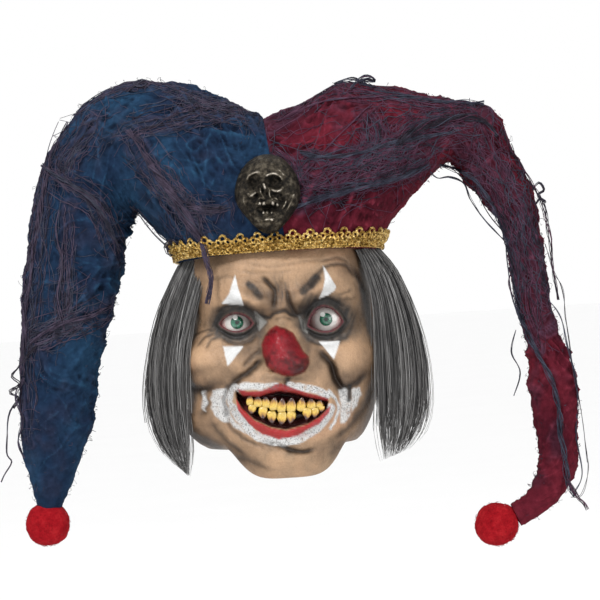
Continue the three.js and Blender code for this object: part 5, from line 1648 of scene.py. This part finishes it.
def braid_cords():
    """The edges and weave of the band, loose ends of metal thread, and the trefoil loops."""
    strands = []
    travel = np.linspace(0, BRIM_LENGTH, int(BRIM_LENGTH / 1.05))
    for height, thick in ((0.9, 1.0), (9.4, 0.9)):
        wobble = 0.3 * np.sin(travel * 1.9)
        strands.append((on_brim(travel, height + wobble, 1.6), thick))
    for k in range(4):
        phase = k * pi / 2
        wave = np.sin(travel * 2 * pi / 5.4 + phase)
        over = np.cos(travel * 2 * pi / 5.4 * 2 + phase)
        strands.append((on_brim(travel, 5.2 + 3.5 * wave, 2.0 + 0.9 * over), 0.66))
    for k in range(2):
        wave = np.sin(travel * 2 * pi / 3.1 + k * pi)
        strands.append((on_brim(travel, 5.2 + 2.0 * wave, 3.0 + 0.4 * wave), 0.62))
    pick = np.random.default_rng(71)
    for _ in range(METAL_ENDS):
        start, height = pick.uniform(0, BRIM_LENGTH), pick.uniform(1.2, 9.4)
        turn = pick.uniform(0, 2 * pi)
        steps = np.linspace(-1.3, 1.3, 4)
        rise = height + steps * sin(turn)
        lift = pick.uniform(3.0, 4.6) - 0.5 * steps**2
        strands.append((on_brim(start + steps * cos(turn), rise, lift), 0.75))
    loops = np.linspace(0, 2 * pi, 13)
    for tuft in np.arange(0, BRIM_LENGTH - 1, PITCH):
        for side, rise, size in ((-4.2, 11.4, 2.5), (4.2, 11.4, 2.5), (0, 15.0, 2.9), (-8, 10.0, 1.8)):
            walk = tuft + side + size * np.sin(loops)
            height = rise + size * 1.05 * np.cos(loops)
            strands.append((on_brim(walk, height, 3.4 + 0.6 * np.sin(loops * 2)), 1.25))
        walk = tuft + np.linspace(-3, 3, 5)
        strands.append((on_brim(walk, np.array([9.5, 12, 12.5, 12, 9.5]), 3.4), 1.1))
    return strands


def gold_finish():
    finish = Finish("gold thread", Metallic=1.0)
    fleck = finish.cells(620)
    glitter = finish.noise(760, 3, 0.7).between(0.3, 0.7)
    patch = finish.noise(60, 3).between(0.3, 0.7)
    # Dark spots stand in for painted shade in the gaps between the metal threads.
    shaded_gaps = finish.cells(330).between(0.1, 0.75)
    share = glitter * 0.6 + patch * 0.2 + shaded_gaps * 0.5 - 0.22
    colour = finish.ramp(share, (0, (0.045, 0.02, 0.004)), (0.35, (0.26, 0.145, 0.03)),
                         (0.65, (0.72, 0.49, 0.15)), (1.0, (1.0, 0.9, 0.55)))
    rough = finish.noise(500) * 0.3 + 0.2
    return finish.done(colour, rough, fleck + glitter * 0.6, 0.0014)


gold = gold_finish()
dress(cords("gold_braid_trim", braid_cords()), "gold_braid_trim", gold, "gold_braid", "gold_braid")

# %% [markdown]
# ## The cast badge
# A small skull in antiqued metal is pinned where the two halves of the cap meet. It is a low
# casting: an egg-shaped shield pushed out and in. The high places are rubbed bright, with a
# painted highlight along its ridges, and black patina stays in the hollows, so its height also
# sets its colour.

# %% Skull badge
BADGE_MIDDLE = np.array([267.5, 194.0])
BADGE_HALF = (33.0, 40.0)
# Middle in the picture, half sizes, tilt and height of each swelling or hollow.
BADGE_FORMS = [
    ((253.7, 182.6), (5.6, 6.4), 14, -7.5), ((274.6, 182.3), (6.2, 5.6), -6, -7.5),
    ((262.6, 190.5), (1.4, 3.6), 8, -3.0), ((267.3, 193.5), (1.5, 2.4), -6, -3.0),
    ((257, 196.5), (2.4, 2.4), 0, -2.2), ((275, 196), (3.6, 2.6), -20, -2.4),
    ((251, 203), (4.0, 7.5), -22, -3.0), ((282, 200), (3.4, 6.5), 24, -3.0),
    ((268.7, 208.4), (11.0, 3.3), 2, -7.5), ((266.6, 217.0), (5, 1.2), 0, -1.4),
    ((254, 215), (3.5, 5.5), -34, -1.8), ((267, 164), (22, 8), 0, 1.6),
    ((267, 173), (3.5, 3.5), 0, 1.4), ((269, 221), (6.5, 3.4), 0, 3.2),
    ((250.5, 194.5), (5, 2.6), -30, 2.2), ((278, 190.5), (5, 2.4), 20, 2.2),
]
# Lines that stand up, rubbed bright and given a painted highlight: places in the picture, half
# width and height.
BADGE_RIDGES = [
    ([(246.4, 181), (249, 176), (254, 172.8), (258.5, 173.2), (260.8, 176)], 1.2, 2.6),
    ([(247.4, 192), (249.8, 196), (253, 194.6), (257, 191.6)], 1.0, 2.4),
    ([(264.5, 177), (267.6, 175.2), (273.4, 173.6), (279.4, 176), (282.8, 181)], 1.2, 2.6),
    ([(277.8, 169), (281, 171.6), (284.4, 175.8)], 0.8, 1.6),
    ([(270.4, 188), (275, 191), (280.6, 190), (284, 186)], 1.1, 2.8),
    ([(263.2, 182.6), (264.6, 186), (265.6, 190)], 1.3, 2.6),
    ([(260.6, 186), (260.4, 191), (262.6, 196), (265.8, 199.4)], 0.8, 2.0),
    ([(267.4, 186.6), (269.4, 190), (269.4, 195), (272, 199.4)], 0.8, 2.0),
    ([(257.6, 199.6), (261, 197.8), (264.5, 200)], 0.8, 1.8),
    ([(271, 200), (275, 197.8), (278.2, 200.6)], 0.8, 1.8),
    ([(286.4, 200.6), (284.6, 205), (281.8, 209.6)], 0.8, 2.2),
    ([(294.6, 192.6), (291, 202), (285.6, 212.6)], 0.8, 1.6),
    ([(243.4, 194), (244, 202), (247.5, 211)], 0.8, 1.2), ([(247, 210.5), (252, 217)], 0.8, 1.2),
    ([(263.8, 220.4), (269, 218.8), (274, 220.4)], 1.5, 2.2),
]
BADGE_TEETH = [((259.8, 203.6), 1.5), ((263.9, 203.9), 1.8), ((272.8, 203.5), 1.7), ((277.4, 205), 1.5),
               ((263.4, 212.6), 1.2), ((267.4, 212.1), 1.2), ((271.6, 212.2), 1.2)]


def badge_depth():
    """A plane through the cloth under the badge: depth at its middle, and slopes."""
    rows = []
    for off in product((-14, 0, 14), (-24, 0, 24)):
        spot = BADGE_MIDDLE + off
        aim = Vector(unit(from_picture(*spot, 0.0) - EYE))
        hits = [tree.ray_cast(Vector(EYE), aim) for tree in cloths]
        hits = [hit for hit in hits if hit[0] is not None]
        nearest = min(hits, key=lambda hit: hit[3])
        rows.append((1, *off, nearest[0].y))
    rows = np.array(rows)
    return np.linalg.lstsq(rows[:, :3], rows[:, 3], rcond=None)[0]


def badge_mesh():
    depth, slope_across, slope_down = badge_depth()
    print("badge sits at depth", round(depth, 1), "slopes", round(slope_across, 2), round(slope_down, 2))
    mesh, across, down = flat_grid("skull", 190, 96)
    turn = 2 * pi * across
    share = np.minimum(down / 0.9, 1)
    reach = share**0.85 * np.where(down > 0.9, 1 - 0.96 * smooth(down, 0.9, 1.0), 1)
    side, up = np.sin(turn) * reach, np.cos(turn) * reach
    taper = 1 - 0.3 * smooth(-up, 0.0, 1.0) ** 1.2
    lean = 1.5 * smooth(-up, 0.1, 1)
    spot = np.stack([BADGE_MIDDLE[0] + side * taper * BADGE_HALF[0] + lean,
                     BADGE_MIDDLE[1] - up * BADGE_HALF[1]], 1)
    relief = np.zeros(len(spot))
    for middle, half, tilt, high in BADGE_FORMS:
        relief += high * np.exp(-bump_at(spot, middle, half, tilt))
    rubbed_and_highlit = np.zeros(len(spot))
    for line, half, high in BADGE_RIDGES:
        ridge = groove_at(spot, line, half * 1.25)
        relief += high * ridge
        rubbed_and_highlit = np.maximum(rubbed_and_highlit, ridge * high / 2.8)
    for middle, size in BADGE_TEETH:
        tooth = np.exp(-(bump_at(spot, middle, (size, size * 1.3), 0) ** 2))
        relief += 3.2 * tooth
        rubbed_and_highlit = np.maximum(rubbed_and_highlit, tooth)
    flat = np.c_[spot, 0 * turn]
    relief += 0.7 * ripple(flat, 3.4, 131) + 0.45 * ripple(flat, 1.9, 132)
    dome = 17.0 * np.sqrt(np.clip(1 - share**2.4, 0, 1))
    out = dome + relief * smooth(1 - share, 0, 0.2) + 3.0
    out = np.where(down > 0.9, -3.0, out)
    plane = depth + slope_across * (spot[:, 0] - BADGE_MIDDLE[0])
    plane += slope_down * (spot[:, 1] - BADGE_MIDDLE[1])
    points = np.array([from_picture(u, v, y) for (u, v), y in zip(spot, plane - out)])
    move_to(mesh, points)
    # Wear on the high places and a painted highlight on the ridge lines, lighter towards the dome's top.
    patchy = 0.6 + 0.4 * ripple(flat, 3.0, 134)
    rubbed = 0.34 * smooth(relief + 0.08 * dome, -2.0, 4.0) + 0.16 * ripple(flat, 4.0, 133)
    weigh(mesh, "worn", np.clip(rubbed + 0.75 * smooth(rubbed_and_highlit, 0.15, 1.0) * patchy, 0, 1))
    sew(mesh, 0.02)
    return mesh


def bronze_finish():
    finish = Finish("antique bronze", Metallic=0.85)
    # The wear and the painted highlight of the ridges make the metal lighter.
    worn = finish.painted("worn", "Fac")
    mottle = finish.noise(230, 5, 0.65).between(0.35, 0.65)
    share = worn * 0.85 + mottle * 0.4 - 0.16
    colour = finish.ramp(share, (0, (0.004, 0.0035, 0.003)), (0.22, (0.026, 0.021, 0.015)),
                         (0.5, (0.1, 0.085, 0.062)), (1.0, (0.62, 0.56, 0.48)))
    rough = 0.5 - worn * 0.22 + mottle * 0.1
    dents = finish.cells(240) * 0.8 + finish.noise(420, 5, 0.65) * 1.4
    return finish.done(colour, rough, dents, 0.0013)


dress(badge_mesh(), "skull_badge_cast", bronze_finish(), "skull_metal", "skull_badge")

# %% [markdown]
# ## Pompoms
# Each horn ends in a ball of pressed red felt. A geodesic ball has even triangles, so noise
# dents it evenly, and short loose fibres stand off it.


# %% Felt balls
POMPOM_RADIUS = 21.6
POMPOM_FIBRES = 460


def pompom(name, middle, seed):
    centre = from_picture(*middle, 0.0)
    bm = bmesh.new()
    bmesh.ops.create_icosphere(bm, subdivisions=5, radius=1.0)
    mesh = bpy.data.meshes.new(name)
    bm.to_mesh(mesh)
    bm.free()
    ball = unit(points_of(mesh))
    size = POMPOM_RADIUS + ripple(ball, 0.6, seed) + 0.5 * ripple(ball, 0.2, seed + 1)
    size += 0.25 * ripple(ball, 0.07, seed + 2)
    squared = 1 + 0.05 * (1 - np.abs(ball).max(1))
    move_to(mesh, centre + ball * (size * squared)[:, None])
    pick = np.random.default_rng(seed)
    fibres = []
    for _ in range(POMPOM_FIBRES):
        out = unit(pick.normal(size=3))
        along = unit(np.cross(out, pick.normal(size=3)))
        bend = np.linspace(0, 1, 4)[:, None]
        long = pick.uniform(1.5, 4.0)
        lift = np.array([-0.6, 0.5, 0.9, 1.2])[:, None] * pick.uniform(0.3, 1.0)
        fibres.append((centre + out * (POMPOM_RADIUS + lift) + along * bend * long, 0.13))
    fuzz = cords("pompom_fuzz", fibres)
    bm = bmesh.new()
    bm.from_mesh(mesh)
    bm.from_mesh(fuzz)
    bm.to_mesh(mesh)
    bm.free()
    return mesh


def felt_finish():
    finish = Finish("red felt", Specular_IOR_Level=0.03)
    cloud = finish.noise(120, 5, 0.65).between(0.3, 0.7)
    fibre = finish.noise(800, 3, 0.7, stretch=(1, 1, 2.5)).between(0.3, 0.7)
    share = cloud * 0.55 + fibre * 0.45
    colour = finish.ramp(share, (0, (0.16, 0.0025, 0.006)), (0.5, (0.28, 0.007, 0.012)),
                         (1.0, (0.42, 0.022, 0.026)))
    rough = cloud * 0.1 + 0.85
    return finish.done(colour, rough, cloud + fibre * 0.5, 0.0012)


felt = felt_finish()
for ball, middle, seed in (("pompom_left", (48, 524), 141), ("pompom_right", (497, 524), 151)):
    dress(pompom(ball, middle, seed), ball + "_felt", felt, "pompom", ball)
